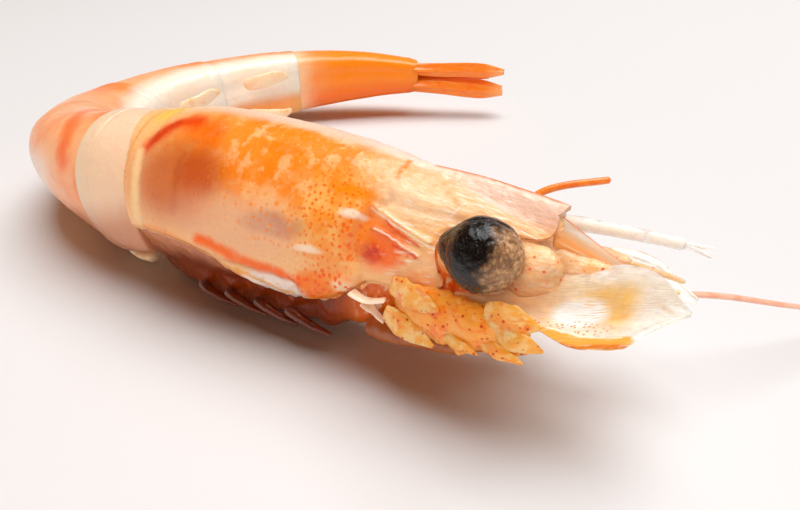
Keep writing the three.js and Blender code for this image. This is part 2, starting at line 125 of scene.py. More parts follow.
# The middle line runs from the head to the tail. Each list holds pairs of a distance along it and a value
# there: its heading and the lean of the back in degrees, and its height and the body's half sizes in
# millimetres.
HEADING = [[0, 149], [30, 149], [36, 138], [44, 119], [52, 96], [60, 74], [69, 52], [78, 34], [87, 16],
           [96, 5], [105, 0], [120, -4]]
BACK_LEAN = [[-12, -12], [18, -11], [30, 6], [38, 32], [48, 60], [58, 80], [70, 90], [122, 90]]
MIDDLE_HEIGHT = [[-12, 10.2], [0, 9.3], [16, 8.3], [32, 7.2], [44, 6.2], [56, 5.1], [70, 5], [80, 5.3],
                 [96, 6], [106, 5.7], [120, 5]]
UP = [[-7, 1.6], [-3, 3.2], [0, 4.2], [8, 5.7], [20, 6.9], [30, 6.8], [40, 6.1], [54, 5.8], [70, 5.5],
      [86, 4.9], [100, 3.7], [104, 3.2]]
DOWN = [[-7, 2.2], [-3, 3.8], [0, 5], [8, 6.6], [20, 7.2], [30, 6.4], [40, 5.6], [54, 5.5], [70, 5.3],
        [86, 4.6], [100, 3.5], [104, 3]]
SIDE = [[-7, 1.6], [-3, 2.9], [0, 3.6], [8, 4.9], [20, 5.8], [30, 5.5], [40, 5.1], [54, 5.1], [70, 4.9],
        [86, 4.2], [100, 3], [104, 2.7]]
ORBIT = (4.6, 3.6)
LINE_STEP = 0.5
LINE_FRONT, LINE_REAR = -30, 122


def value_at(pairs, places):
    """The value of a list of pairs at each place, changing smoothly from pair to pair."""
    at, value = np.array(pairs, float).T
    places = np.clip(np.asarray(places, float), at[0], at[-1])
    after = np.clip(np.searchsorted(at, places, side="right"), 1, len(at) - 1)
    ahead = np.minimum(np.arange(len(at)) + 1, len(at) - 1)
    behind = np.maximum(np.arange(len(at)) - 1, 0)
    slope = (value[ahead] - value[behind]) / (at[ahead] - at[behind])
    span = at[after] - at[after - 1]
    share = (places - at[after - 1]) / span
    square, cube = share ** 2, share ** 3
    ends = (2 * cube - 3 * square + 1) * value[after - 1] + (3 * square - 2 * cube) * value[after]
    return ends + ((cube - 2 * square + share) * slope[after - 1] + (cube - square) * slope[after]) * span


def walk(to):
    """Plan positions of the middle line, outwards from the orbit, which is the socket of the eye."""
    starts = np.arange(0, abs(to), LINE_STEP) * np.sign(to)
    step = math.copysign(LINE_STEP, to)
    angle = np.radians(value_at(HEADING, starts + step / 2))
    moves = np.stack([np.cos(angle), np.sin(angle)], 1) * step
    return np.vstack([[ORBIT], ORBIT + np.cumsum(moves, 0)])


PLAN = np.vstack([walk(LINE_FRONT)[:0:-1], walk(LINE_REAR)])
PLAN_PLACES = np.arange(len(PLAN)) * LINE_STEP + LINE_FRONT


def frame_at(places):
    """Where the middle line is at each place, and the directions to the tail, the back and the right."""
    places = np.asarray(places, float)
    angle = np.radians(value_at(HEADING, places))
    lean = np.radians(value_at(BACK_LEAN, places))
    flat = np.zeros_like(angle)
    tailward = np.stack([np.cos(angle), np.sin(angle), flat], -1)
    outward = np.stack([-np.sin(angle), np.cos(angle), flat], -1)
    back = outward * np.sin(lean)[..., None]
    back[..., 2] += np.cos(lean)
    plan = [np.interp(places, PLAN_PLACES, PLAN[:, axis]) for axis in (0, 1)]
    at = np.stack([*plan, value_at(MIDDLE_HEIGHT, places)], -1)
    return at, tailward, back, np.cross(back, tailward)


def beside_line(places, to_right, to_back):
    """Points beside the middle line, so many millimetres to its right and towards its back."""
    at, tailward, back, right = frame_at(places)
    to_right, to_back = (np.asarray(offset, float)[..., None] for offset in (to_right, to_back))
    return at + right * to_right + back * to_back


def body_point(places, degrees, reach=1.0):
    """Points of the body by their angle from the back, positive to the right. A reach of 1 is the skin."""
    to_right, to_back = np.sin(np.radians(degrees)), np.cos(np.radians(degrees))
    height = np.where(to_back > 0, value_at(UP, places), value_at(DOWN, places))
    return beside_line(places, to_right * value_at(SIDE, places) * reach, to_back * height * reach)


def ramp(low, high, value):
    """0 below low, 1 above high and a smooth change between them."""
    share = np.clip((value - low) / (high - low), 0, 1)
    return share * share * (3 - 2 * share)


def between(low, high, share):
    """Low at a share of 0, high at a share of 1."""
    return low + (high - low) * share


def rounded(share):
    """The fullness of a round end: 0 at its tip and 1 where the share is 1 or more."""
    return np.sqrt(1 - (1 - np.clip(share, 0, 1)) ** 2)


def lumps(points, size, seed):
    """Soft unevenness from -1 to 1 for each point, with lumps of that size in millimetres."""
    shift = Vector((seed * 7.1, seed * 3.3, seed * 5.7))
    return np.array([noise.noise(Vector(point) / size + shift) for point in points])


def bent_grid(name, along, around, place):
    """A grid bent to its place, which turns shares along and around it into points and two map values."""
    bpy.ops.object.select_all(action="DESELECT")
    bpy.ops.mesh.primitive_grid_add(x_subdivisions=along, y_subdivisions=around, size=1, calc_uvs=True)
    piece = bpy.context.object
    piece.name = name
    mesh = piece.data
    flat = np.zeros(len(mesh.vertices) * 3)
    mesh.vertices.foreach_get("co", flat)
    shares = flat.reshape(-1, 3)[:, :2] + 0.5
    points, body = place(shares[:, 0], shares[:, 1])
    points[:, 2] = np.maximum(points[:, 2], 0)
    mesh.vertices.foreach_set("co", ((points + MIDDLE) * MM).ravel())
    corners = np.zeros(len(mesh.loops), int)
    mesh.loops.foreach_get("vertex_index", corners)
    mesh.uv_layers[0].name = "body"
    mesh.uv_layers[0].data.foreach_set("uv", np.stack(body, 1)[corners].ravel())
    mesh.update()
    return piece


SEAM_GAP = 0.002


def close_seams(piece):
    """Joins the vertices that meet, within the gap of a seam, and turns every face outwards."""
    bpy.context.view_layer.objects.active = piece
    bpy.ops.object.mode_set(mode="EDIT")
    bpy.ops.mesh.select_all(action="SELECT")
    bpy.ops.mesh.remove_doubles(threshold=SEAM_GAP * MM)
    bpy.ops.mesh.dissolve_degenerate(threshold=SEAM_GAP * MM * 0.5)
    bpy.ops.mesh.normals_make_consistent(inside=False)
    bpy.ops.object.mode_set(mode="OBJECT")
    bpy.ops.object.shade_smooth()
    return piece


DEEPENING = 0.13
SCREEN_CURVE = 2.2


def tint(red, green, blue):
    """A colour by its strengths on a screen, from 0 to 255, deepened a little against the pale room."""
    strengths = np.array((red, green, blue)) / 255
    deeper = strengths - (strengths.max() - strengths) * DEEPENING
    return tuple(np.clip(deeper, 0, 1) ** SCREEN_CURVE) + (1.0,)


class Pattern:
    """A value that varies over a surface. Arithmetic on it adds the nodes that work it out."""

    def __init__(self, finish, output):
        self.finish, self.output = finish, output

    def __add__(self, other):
        return self.finish.maths("ADD", self, other)

    def __sub__(self, other):
        return self.finish.maths("SUBTRACT", self, other)

    def __rsub__(self, other):
        return self.finish.maths("SUBTRACT", other, self)

    def __mul__(self, other):
        return self.finish.maths("MULTIPLY", self, other)

    __radd__, __rmul__ = __add__, __mul__

    def ramp(self, start, end):
        """0 at start, 1 at end and a smooth change between. The start may be above the end."""
        low, high, at_low = (start, end, 0.0) if start < end else (end, start, 1.0)
        return self.finish.node("ShaderNodeMapRange", {"interpolation_type": "SMOOTHSTEP"},
                                {0: self, 1: low, 2: high, 3: at_low, 4: 1.0 - at_low})


FLESH_GLOW = (1.0, 0.45, 0.2)  # how far red, green and blue light spread inside, as shares of the depth
WET_FILM = 0.07
WET_SHELL = 1.42


class Finish:
    """A material: a wet, slightly clear surface, its running colour and what is painted over it."""

    def __init__(self, name, colour, roughness, coat, clearness, depth=1.2):
        self.material = bpy.data.materials.new(name)
        self.material.use_nodes = True
        self.tree = self.material.node_tree
        self.shader = self.tree.nodes["Principled BSDF"]
        surface = {"Base Color": colour, "Roughness": roughness, "IOR": WET_SHELL,
                   "Coat Weight": coat, "Coat Roughness": WET_FILM, "Subsurface Weight": clearness,
                   "Subsurface Scale": depth * MM, "Subsurface Radius": FLESH_GLOW}
        for socket, value in surface.items():
            self.shader.inputs[socket].default_value = value
        self.colour, self.height = colour, None

    def node(self, kind, settings, values, out=0):
        """Adds one node: its settings, then a value or a link for each of its sockets."""
        node = self.tree.nodes.new(kind)
        for key, value in settings.items():
            setattr(node, key, value)
        for key, value in values.items():
            if isinstance(value, Pattern):
                self.tree.links.new(value.output, node.inputs[key])
            else:
                node.inputs[key].default_value = value
        return Pattern(self, node.outputs[out])

    def vector(self, operation, first, second=(0, 0, 0), out=0, **values):
        values = {0: first, 1: second, **values}
        return self.node("ShaderNodeVectorMath", {"operation": operation}, values, out)

    def space(self):
        """The place in space, in millimetres."""
        return self.vector("SCALE", self.node("ShaderNodeTexCoord", {}, {}, "Object"), Scale=1 / MM)

    def map(self):
        """The place on the piece's own map."""
        return self.node("ShaderNodeUVMap", {"uv_map": "body"}, {})

    def part(self, vector, axis):
        """One of the numbers that a place is made of."""
        return self.node("ShaderNodeSeparateXYZ", {}, {0: vector}, axis)

    def both_sides(self, vector):
        """The same map on the left side as on the right."""
        turn = self.maths("ABSOLUTE", self.part(vector, 1))
        return self.node("ShaderNodeCombineXYZ", {}, {0: self.part(vector, 0), 1: turn})

    def maths(self, operation, first, second=0.0):
        return self.node("ShaderNodeMath", {"operation": operation}, {0: first, 1: second})

    def clouds(self, where, size, detail=3.0, out="Fac"):
        """Cloudy unevenness round 0.5, with clouds of that size."""
        values = {"Vector": where, "Scale": 1 / size, "Detail": detail, "Roughness": 0.55}
        return self.node("ShaderNodeTexNoise", {}, values, out)

    def shaken(self, where, by, size):
        """The same places, moved to and fro by so much, so that edges on them turn out uneven."""
        shake = self.vector("SUBTRACT", self.clouds(where, size, 2.0, "Color"), (0.5, 0.5, 0.5))
        return self.vector("ADD", where, self.vector("MULTIPLY", shake, (by * 2, by * 2, by * 2)))

    def speckle(self, where, spacing, size, flat=True):
        """Small round dots, so far apart and of that radius as a share of it, each a little different."""
        settings = {"voronoi_dimensions": "2D" if flat else "3D"}
        values = {"Vector": where, "Scale": 1 / spacing}
        near = self.node("ShaderNodeTexVoronoi", settings, values, "Distance")
        own = self.part(self.node("ShaderNodeTexVoronoi", settings, values, "Color"), 0)
        return near.ramp(size, size * 0.5) * own.ramp(0.12, 0.3)

    def blob(self, where, centre, radii, soft):
        """1 inside an ellipse on the map, fading out over its edge."""
        off = self.vector("SUBTRACT", where, (*centre, 0))
        share = self.vector("LENGTH", self.vector("DIVIDE", off, (*radii, 1)), out=1)
        return share.ramp(1 + soft / 2, 1 - soft / 2)

    def stroke(self, where, points, width, soft):
        """1 along a line through points on the map, fading out over its edges."""
        nearest = None
        for (x, y), (to_x, to_y) in zip(points, points[1:]):
            run, rise = to_x - x, to_y - y
            length = run * run + rise * rise
            off = self.vector("SUBTRACT", where, (x, y, 0))
            along = self.vector("DOT_PRODUCT", off, (run / length, rise / length, 0), out=1)
            along = self.node("ShaderNodeMath", {"operation": "ADD", "use_clamp": True}, {0: along, 1: 0.0})
            foot = self.vector("SCALE", (run, rise, 0), Scale=along)
            away = self.vector("DISTANCE", off, foot, out=1)
            nearest = away if nearest is None else self.maths("MINIMUM", nearest, away)
        return nearest.ramp(width * (0.5 + soft / 2), width * (0.5 - soft / 2))

    def paint(self, mask, colour):
        """Lays a colour over what is there, where the mask is 1."""
        values = {0: mask, 6: self.colour, 7: colour}
        self.colour = self.node("ShaderNodeMix", {"data_type": "RGBA"}, values, 2)

    def raise_by(self, pattern, height):
        """Adds a fine relief of that height in millimetres."""
        self.height = pattern * height if self.height is None else self.height + pattern * height

    def feed(self, socket, pattern):
        """Lets a pattern drive one of the shader's sockets."""
        self.tree.links.new(pattern.output, self.shader.inputs[socket])

    def done(self):
        """Links the colour and the relief, and hands over the material."""
        if isinstance(self.colour, Pattern):
            self.feed("Base Color", self.colour)
        if self.height is not None:
            values = {"Strength": 1.0, "Distance": MM, "Height": self.height}
            self.feed("Normal", self.node("ShaderNodeBump", {}, values))
        return self.material


def fix(piece, nodes, material, shaded=False):
    """Gives a finished piece its material and sets it in the frame in place of its plain solids.

    A shaded piece stays out of the prawn's collection, so the board in front sends no light to it.
    """
    piece.data.materials.clear()
    piece.data.materials.append(material)
    if not shaded:
        prawn.objects.link(piece)
    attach(piece, "root")
    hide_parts(*nodes)


FLESH_FRONT, FLESH_REAR = -5.2, 27.9
FLESH_REACH = [[-5.2, 0.7], [-4, 0.84], [-2.4, 0.84], [0, 0.78], [4, 0.84], [9, 0.88], [24, 0.9],
               [27.9, 0.88]]
FLESH_END = 1.1
BELLY_REACH = 1.136
FIRST_LEG = 12.5
LEG_SPACING = 3.1
LEG_SWELL = 0.03


def flesh_place(along, around):
    place = between(FLESH_FRONT, FLESH_REAR, along)
    degrees = (around * 2 - 1) * 180
    belly = ramp(138, 168, np.abs(degrees)) * ramp(2, 10, place)
    reach = between(value_at(FLESH_REACH, place), BELLY_REACH, belly)
    reach += belly * LEG_SWELL * np.cos((place - FIRST_LEG) * 2 * np.pi / LEG_SPACING)
    reach *= rounded(np.minimum(place - FLESH_FRONT, FLESH_REAR - place) / FLESH_END)
    skin = body_point(place, degrees, reach)
    low_down = ramp(100, 120, np.abs(degrees))
    reach = reach * (1 + 0.02 * lumps(skin, 1.1, 3) + 0.035 * lumps(skin, 2.6, 4) * low_down)
    return body_point(place, degrees, reach), (place, degrees / 10)


flesh = close_seams(bent_grid("thorax_flesh", 150, 140, flesh_place))


def flesh_finish():
    finish = Finish("cooked_flesh", tint(246, 190, 140), roughness=0.34, coat=0.5, clearness=0.3)
    where = finish.shaken(finish.both_sides(finish.map()), 0.35, 1.6)
    along, turn = finish.part(where, 0), finish.part(where, 1)
    space = finish.space()
    grain = finish.clouds(space, 0.8, 4.0)
    fibres = finish.clouds(finish.vector("MULTIPLY", where, (2.2, 0.7, 1)), 1.0, 4.0)
    finish.paint(finish.clouds(space, 2.2).ramp(0.45, 0.7) * 0.6, tint(250, 160, 80))
    # Painted shade: the flank under the shell's edge is painted dull brown and the belly near-black brown,
    # where the shell overhangs them.
    finish.paint(turn.ramp(9.2, 10.6) * 0.85, tint(190, 118, 80))
    finish.paint(turn.ramp(11, 13.5), tint(126, 58, 26))
    finish.paint(along.ramp(9.5, 5.5) * 0.9, tint(246, 132, 52))
    finish.paint(fibres.ramp(0.52, 0.66) * along.ramp(8, 5), tint(252, 212, 172))
    finish.paint(fibres.ramp(0.46, 0.36) * along.ramp(8, 5) * 0.8, tint(214, 82, 20))
    finish.paint(along.ramp(-0.5, -3.5), tint(251, 206, 160))
    finish.paint(grain.ramp(0.56, 0.72) * 0.45, tint(222, 108, 50))
    finish.raise_by(grain, 0.08)
    finish.raise_by(fibres, 0.12)
    return finish.done()


fix(flesh, ["thorax"], flesh_finish())

# ---- Head shell ----
# One thin hard plate folded over the head and the thorax, open below. Boiling turned it orange and brought
# out its rows of dots. Its right side is creased in front, rolled and torn along its free lower edge.

SHELL_LENGTH = 28
SHELL_WALL = 0.3

# The front and rear edge for a share of the way down each side, and the angle of the free lower edge, which
# is whole on the left and torn on the right. The tears are the difference from a smooth edge.
FRONT_EDGE = [[0, -5.8], [0.09, -5.6], [0.19, -5.4], [0.28, -5], [0.36, -4.3], [0.41, -3], [0.45, -1.2],
              [0.5, 0.3], [0.6, 0.9], [0.7, 1], [0.83, 0.7], [0.93, 0.3], [0.97, 0.8], [1, 2.2]]
REAR_EDGE = [[0, 28.4], [0.35, 27.6], [0.7, 27.2], [1, 26.9]]
WHOLE_EDGE = [[-6, 96], [2, 112], [6, 132], [10, 143], [14, 139], [19, 130], [24, 119], [28, 108]]
SMOOTH_EDGE = [[-6, 112], [1, 121], [3, 119], [5.2, 117], [7, 126], [9, 136], [12, 141], [14, 138],
               [16, 129], [18, 117], [20, 110], [23, 105], [28, 99]]
TEARS = [[5.2, 0], [5.8, -2], [6.3, 1], [6.9, -1], [7.8, 1.5], [8.5, 1], [9, 3], [9.6, 0], [10.1, -2],
         [11, -1], [11.5, 0.5], [11.9, 4], [12.3, 2], [12.7, 3], [13.2, -1.5], [13.8, -1], [14.2, 1.5],
         [14.7, -2], [15.3, -1], [16, 0.5], [16.5, -2], [17.2, 1], [18, 0], [19, 0.5], [20, 0]]
TEAR_DEPTH = 1.3
# The share of the grid's width that lies on each side of the back.
LEFT_PART, RIGHT_PART = 0.42, 0.58
CREST_WIDTH = 0.62
CREST_TOP = [[-5.8, 4], [-3, 4.5], [0, 4.95], [4.5, 5.3], [11, 6]]
# Lines in the shell, by distance along the body and tens of degrees from the back. Each row of the last two
# lists is a line, the width of its slope and how far it stands out. The folds are on the right alone.
GROOVE = [(4.7, 4.8), (5.2, 6), (5.9, 7), (6.3, 8.5), (6.3, 9.5), (5.5, 10.8), (5.7, 11.5)]
FOLDS = (([(1.5, 7.7), (3.4, 6.9), (5.4, 6)], 0.26, 0.2), ([(1.9, 9), (3.4, 8.2), (5, 7.5)], 0.26, 0.13),
         ([(5.9, 6.7), (7.5, 7)], 0.35, 0.08), ([(8.6, 9.7), (10.5, 9.7)], 0.3, 0.07),
         ([(10.6, 11.8), (14, 11.5), (17, 11), (19, 10.5), (22, 10)], 0.34, 0.16))
REAR_LINES = (([(25.3, -2), (25.3, 11)], 0.25, -0.1), ([(26.4, -2), (26.4, 11)], 0.6, 0.06),
              ([(21.3, 4.6), (21.5, 9)], 0.5, -0.04))


def away_from(points, place, turn):
    """How far each place on the map is from a line through points."""
    nearest = np.full(len(place), 1e9)
    for (x, y), (to_x, to_y) in zip(points, points[1:]):
        run, rise = to_x - x, to_y - y
        share = np.clip(((place - x) * run + (turn - y) * rise) / (run * run + rise * rise), 0, 1)
        nearest = np.minimum(nearest, np.hypot(place - x - share * run, turn - y - share * rise))
    return nearest


def bump(points, width, place, turn):
    """1 on a line through points and falling off to each side of it."""
    return np.exp(-(away_from(points, place, turn) / width) ** 2)


def map_lumps(place, turn, size, seed):
    """Soft unevenness from -1 to 1 for places on a flat map."""
    return lumps(np.stack([place, turn, turn * 0], 1), size, seed)


def shell_relief(place, turn, torn, edge):
    """How far the shell stands out of the smooth body, in millimetres."""
    height = 0.05 * map_lumps(place, turn, 1.7, 8)
    height += 0.02 * map_lumps(place, turn, 0.6, 9)
    height += 0.07 * map_lumps(place, turn, 0.7, 10) * (1 - ramp(5, 8, place))
    height += 0.42 * (1 - ramp(3, 6.5, turn)) * ramp(2, 9, place) * (1 - ramp(22, 27, place))
    height -= 0.05 * np.abs(map_lumps(place * 1.6, turn * 0.8, 1.1, 12)) * (1 - ramp(10, 14, place))
    groove_at = np.interp(turn, [y for x, y in GROOVE], [x for x, y in GROOVE])
    in_folds = ramp(4.2, 5.4, turn) * (1 - ramp(11.3, 12.5, turn))
    height -= 0.26 * in_folds * (1 - ramp(-0.2, 0.5, place - groove_at)) * torn
    height -= 0.16 * bump(GROOVE, 0.28, place, turn) * (0.3 + 0.7 * torn)
    for fold, width, rise in FOLDS:
        height += rise * bump(fold, width, place, turn) * torn
    rolled = ramp(5.8, 6.6, place) * (1 - ramp(10.2, 11, place)) * ramp(10.4, 11.4, turn)
    height += 0.3 * rolled * torn * np.sin(np.clip((edge / 10 - turn) / 2.4, 0, 1) * np.pi)
    flap = ramp(10.5, 11.2, place) * (1 - ramp(15.3, 16, place)) * ramp(11, 11.8, turn)
    height += flap * torn * (0.07 * map_lumps(place, turn, 0.9, 13) - 0.1)
    for line, width, rise in REAR_LINES:
        height += rise * bump(line, width, place, turn)
    return height


def shell_place(along, around):
    """The shell as an open sheet. Its grid is finer in front and towards the lower edges."""
    side = np.sign(around - LEFT_PART)
    share = np.where(side > 0, (around - LEFT_PART) / RIGHT_PART, (LEFT_PART - around) / LEFT_PART)
    share = share ** 0.92
    along = along ** 1.3
    front = value_at(FRONT_EDGE, share)
    front += 0.35 * (1 - ramp(0.1, 0.2, share)) * map_lumps(share * 30, share * 0, 0.8, 5)
    place = between(front, value_at(REAR_EDGE, share), along)
    edge = np.where(side > 0, value_at(SMOOTH_EDGE, place), value_at(WHOLE_EDGE, place))
    tear = TEAR_DEPTH * np.interp(place, *np.array(TEARS).T) + 2 * map_lumps(place, share * 0, 0.6, 15)
    tear = tear * ramp(0.9, 1, share) * ramp(4.5, 6, place) * (1 - ramp(17, 21, place)) * (side > 0)
    degrees = share * edge + tear
    turn = degrees / 10
    height = shell_relief(place, turn, (side > 0) * 1.0, edge)
    lateral = np.sin(np.radians(degrees)) * value_at(SIDE, place)
    crest = np.clip(value_at(CREST_TOP, place) - value_at(UP, place) - 0.05, 0, 3)
    height += crest * (1 - ramp(5.5, 8, place)) * np.exp(-(lateral / CREST_WIDTH) ** 2)
    # The plate turns in a little along its free edges.
    lip = np.minimum(np.minimum((edge - degrees) * 0.1, (1 - along) * SHELL_LENGTH), along * SHELL_LENGTH)
    height -= 0.2 * (1 - ramp(0, 0.45, lip)) * ramp(0.3, 0.45, share)
    radius = np.linalg.norm(body_point(place, degrees) - frame_at(place)[0], axis=1)
    return body_point(place, side * degrees, 1 + height / radius), (place, side * turn)


def give_wall(piece, thickness, offset=-1.0):
    """Turns a sheet into a thin plate. An offset of -1 keeps the face that looks outwards where it is."""
    bpy.ops.object.select_all(action="DESELECT")
    piece.select_set(True)
    bpy.context.view_layer.objects.active = piece
    wall = piece.modifiers.new("wall", "SOLIDIFY")
    wall.thickness = thickness * MM
    wall.offset = offset
    bpy.ops.object.modifier_apply(modifier=wall.name)
    bpy.ops.object.shade_smooth_by_angle(angle=math.radians(60))
    return piece


def faces_out(piece, away_from_point):
    """Turns the sheet over if its faces look towards that point instead of away from it."""
    middle = Vector((np.asarray(away_from_point) + MIDDLE) * MM)
    looks = sum(face.normal.dot((face.center - middle).normalized()) * face.area
                for face in piece.data.polygons)
    if looks < 0:
        piece.data.flip_normals()
    return piece


head_shell = bent_grid("head_shell_plate", 225, 168, shell_place)
give_wall(faces_out(head_shell, frame_at(14.0)[0]), SHELL_WALL)


def shell_finish():
    """The shell's colours, laid out by distance along the body and tens of degrees from the back."""
    finish = Finish("boiled_shell", tint(252, 198, 146), roughness=0.29, coat=0.25, clearness=0.22)
    where = finish.map()
    near = finish.shaken(finish.both_sides(where), 0.17, 0.7)
    loose = finish.shaken(finish.both_sides(where), 0.5, 2.2)
    fine = finish.clouds(where, 0.45, 4.0)
    wide = finish.clouds(where, 2.4, 3.0)

    def patch(centre, radii, colour, strength, soft):
        finish.paint(finish.blob(loose, centre, radii, soft) * strength, tint(*colour))

    def line(points, width, colour, strength, soft, at=near):
        finish.paint(finish.stroke(at, points, width, soft) * strength, tint(*colour))

    # The pale back, the orange wash over the sides and the brown organs that show through.
    patch((14, 3.2), (9, 3.2), (248, 150, 56), 0.95, 1.2)
    patch((14, 4), (9, 4), (250, 144, 44), wide.ramp(0.42, 0.62) * 0.9, 1.2)
    mottled = finish.clouds(near, 1.1, 4.0).ramp(0.5, 0.62)
    patch((12.5, 3), (7, 3.6), (254, 206, 156), mottled * 0.55, 0.8)
    patch((8, 0), (15, 1.3), (252, 224, 204), 0.9, 1.2)
    patch((13, 0.2), (9, 0.9), (250, 200, 172), 0.5, 1.2)
    patch((12.5, 2), (2, 0.55), (252, 148, 40), 0.8, 1.0)
    patch((13, 3.7), (1.7, 0.4), (250, 140, 34), 0.8, 1.0)
    patch((21.5, 6.7), (4.4, 2.7), (196, 104, 52), 0.85, 1.1)
    patch((19.4, 6.2), (1.9, 1.2), (190, 84, 34), 0.6, 1.2)
    line([(19.4, 3.5), (20.8, 2.9), (22, 2.6)], 1.6, (240, 116, 34), 0.8, 1.0, loose)
    line([(21.6, 2.6), (22.8, 2.6), (24, 3.2), (25.2, 4.4)], 1.1, (222, 88, 10), 0.95, 1.0, loose)
    line([(23.4, 2.9), (24.9, 4)], 0.8, (206, 70, 8), 0.7, 1.0, loose)
    line([(21.3, 5), (21.5, 8.8)], 0.6, (176, 92, 44), 0.4, 1.0, loose)
    patch((25.8, 0.2), (1.6, 1.9), (249, 196, 104), 0.9, 1.0)
    line([(25.8, 4.8), (25.6, 9.2)], 0.7, (252, 214, 166), 0.9, 0.9)
    line([(26.8, -1), (26.9, 9.2)], 0.3, (246, 166, 96), 0.7, 0.9)
    patch((12.2, 8.5), (2.6, 0.75), (158, 104, 90), 0.95, 0.9)
    patch((15.5, 9), (5.5, 1.8), (236, 182, 150), 0.7, 1.2)

    # The smooth front, its folds and the raw flesh between them.
    patch((0.5, 3.4), (6, 2.4), (250, 190, 144), 0.95, 0.7)
    patch((-3.2, 0.9), (4.4, 1.3), (246, 208, 194), 0.85, 0.7)
    line([(-5.8, 0.1), (-2, 0.1), (3, 0.1)], 0.3, (236, 170, 140), 0.7, 0.9, where)
    patch((6, -0.1), (2.6, 1.1), (252, 224, 208), 0.9, 0.9)
    patch((2.8, 4.8), (2.6, 1.5), (253, 214, 178), 0.85, 0.9)
    patch((2.2, 9.9), (2.6, 1.0), (253, 205, 160), 0.9, 0.7)
    line([(4.9, 0.9), (4.7, 3.3)], 0.34, (236, 146, 70), 0.9, 0.9)
    line([(5.9, 4.2), (6.5, 3), (7.2, 2.2)], 0.24, (250, 176, 104), 0.9, 0.9)
    line([(6.6, 4.3), (7.4, 3.4)], 0.2, (252, 190, 130), 0.8, 0.9)
    patch((4.5, 8.5), (1.7, 1.9), (254, 122, 28), 0.95, 0.9)
    patch((5.2, 9.3), (0.9, 0.7), (198, 48, 0), 0.95, 0.9)
    patch((5.7, 7.2), (0.6, 1.9), (252, 124, 30), 0.9, 0.9)
    patch((3.8, 9.2), (1.7, 0.7), (250, 118, 30), fine.ramp(0.45, 0.6) * 0.8, 0.8)
    line([(2, 8.05), (3.2, 7.5), (4.4, 6.75)], 0.24, (238, 92, 20), 0.8, 0.9)
    line([(1.9, 9.1), (2.7, 8.75), (3.6, 8.4)], 0.22, (240, 80, 26), 0.9, 0.8)
    upper_ridge = [(1.3, 7.5), (3.2, 6.75), (5.2, 5.85)]
    lower_ridge = [(1.9, 8.85), (3.4, 8.05), (5, 7.4)]
    line(upper_ridge, 0.2, (255, 228, 200), 0.6, 0.9)
    line([(1.5, 7.85), (3.3, 7.05), (5.4, 6.15)], 0.14, (255, 238, 220), 0.7, 0.9)
    line(lower_ridge, 0.13, (255, 240, 226), 0.8, 0.9)
    # Painted glint: a white line along the orbit's margin.
    line([(-2, 2.5), (0, 3.3), (0.6, 5)], 0.14, (254, 240, 226), 0.5, 1.0)
    line([(0.8, 8.2), (1.4, 7.9)], 0.2, (255, 248, 240), 0.9, 0.8)
    for ridge in (upper_ridge, lower_ridge, [(1.6, 8.2), (4.2, 7)]):
        finish.raise_by(finish.stroke(near, ridge, 0.4, 1.0), 0.1)
    # Painted glints: short white lines on three small folds.
    for start, end in (((0.8, 5), (1.6, 6.8)), ((1.3, 5.1), (2, 6.4)), ((1.9, 5.3), (2.6, 6))):
        line([start, end], 0.12, (254, 232, 210), 0.4, 1.0)

    # The dots, which crowd together towards the front, and the torn and rolled lower edge.
    crowd = finish.blob(loose, (8, 7.6), (2.9, 3.6), 0.7)
    few = finish.blob(loose, (11.5, 6), (6.5, 4), 0.6)
    patch((8, 7.5), (2.6, 3), (253, 184, 98), 0.7, 1.0)
    finish.paint(crowd * wide.ramp(0.45, 0.6) * 0.6, tint(252, 148, 48))
    patch((6.9, 5.2), (1.7, 0.5), (252, 152, 36), 0.9, 0.9)
    patch((6.6, 8.4), (0.8, 1.6), (250, 142, 60), 0.7, 1.0)
    dots = finish.speckle(near, 0.45, 0.3)
    finish.paint(dots * crowd * 0.9, tint(248, 128, 28))
    finish.paint(finish.speckle(near, 0.6, 0.24) * few * 0.7, tint(248, 146, 50))
    patch((6.9, 8.4), (1.3, 1.9), (248, 122, 28), finish.speckle(near, 0.62, 0.28), 0.7)
    # Painted highlights: two small pale wet glints on the right side.
    patch((6.6, 6.9), (1, 0.3), (255, 240, 226), 0.7, 1.0)
    patch((9.5, 9.7), (1, 0.28), (254, 236, 220), 0.7, 1.0)
    patch((8.3, 12.2), (2.5, 1.4), (252, 160, 78), 0.95, 0.6)
    patch((6.8, 11.6), (0.7, 0.5), (254, 222, 190), 0.8, 0.9)
    patch((9.3, 12.2), (1.6, 1.0), (253, 138, 36), 0.95, 0.8)
    patch((13.1, 13.3), (2.8, 1.7), (255, 236, 228), 0.95, 0.5)
    grainy = finish.clouds(where, 0.5, 4.0).ramp(0.55, 0.66)
    patch((13, 13.3), (2.8, 1.2), (248, 176, 120), grainy * 0.6, 0.5)
    line([(10.4, 11.9), (14, 11.4), (17, 10.8), (19, 10.2)], 0.7, (252, 122, 34), 1.0, 0.9, loose)
    patch((8.4, 12.0), (2.6, 1.4), (248, 112, 14), finish.speckle(near, 0.42, 0.42), 0.5)
    line([(16, 12.4), (18, 11.4), (20, 10.7), (22, 10.2), (25, 9.8)], 0.5, (250, 158, 84), 0.8, 0.9)
    line([(11.4, 13.5), (12.6, 13.4), (13.4, 12.9), (15, 12.5), (16, 12)], 0.3, (250, 176, 78), 0.8, 0.9)
    finish.paint(fine.ramp(0.58, 0.72) * finish.part(where, 0).ramp(16, 12) * 0.2, tint(255, 232, 208))
    threads = finish.clouds(finish.vector("MULTIPLY", near, (0.7, 3, 1)), 1.0, 4.0)
    front = finish.part(where, 0).ramp(5, 2)
    finish.paint(threads.ramp(0.56, 0.64) * front * 0.7, tint(255, 240, 226))
    finish.paint(threads.ramp(0.42, 0.34) * front * 0.5, tint(244, 176, 120))
    finish.raise_by(threads * front, 0.1)

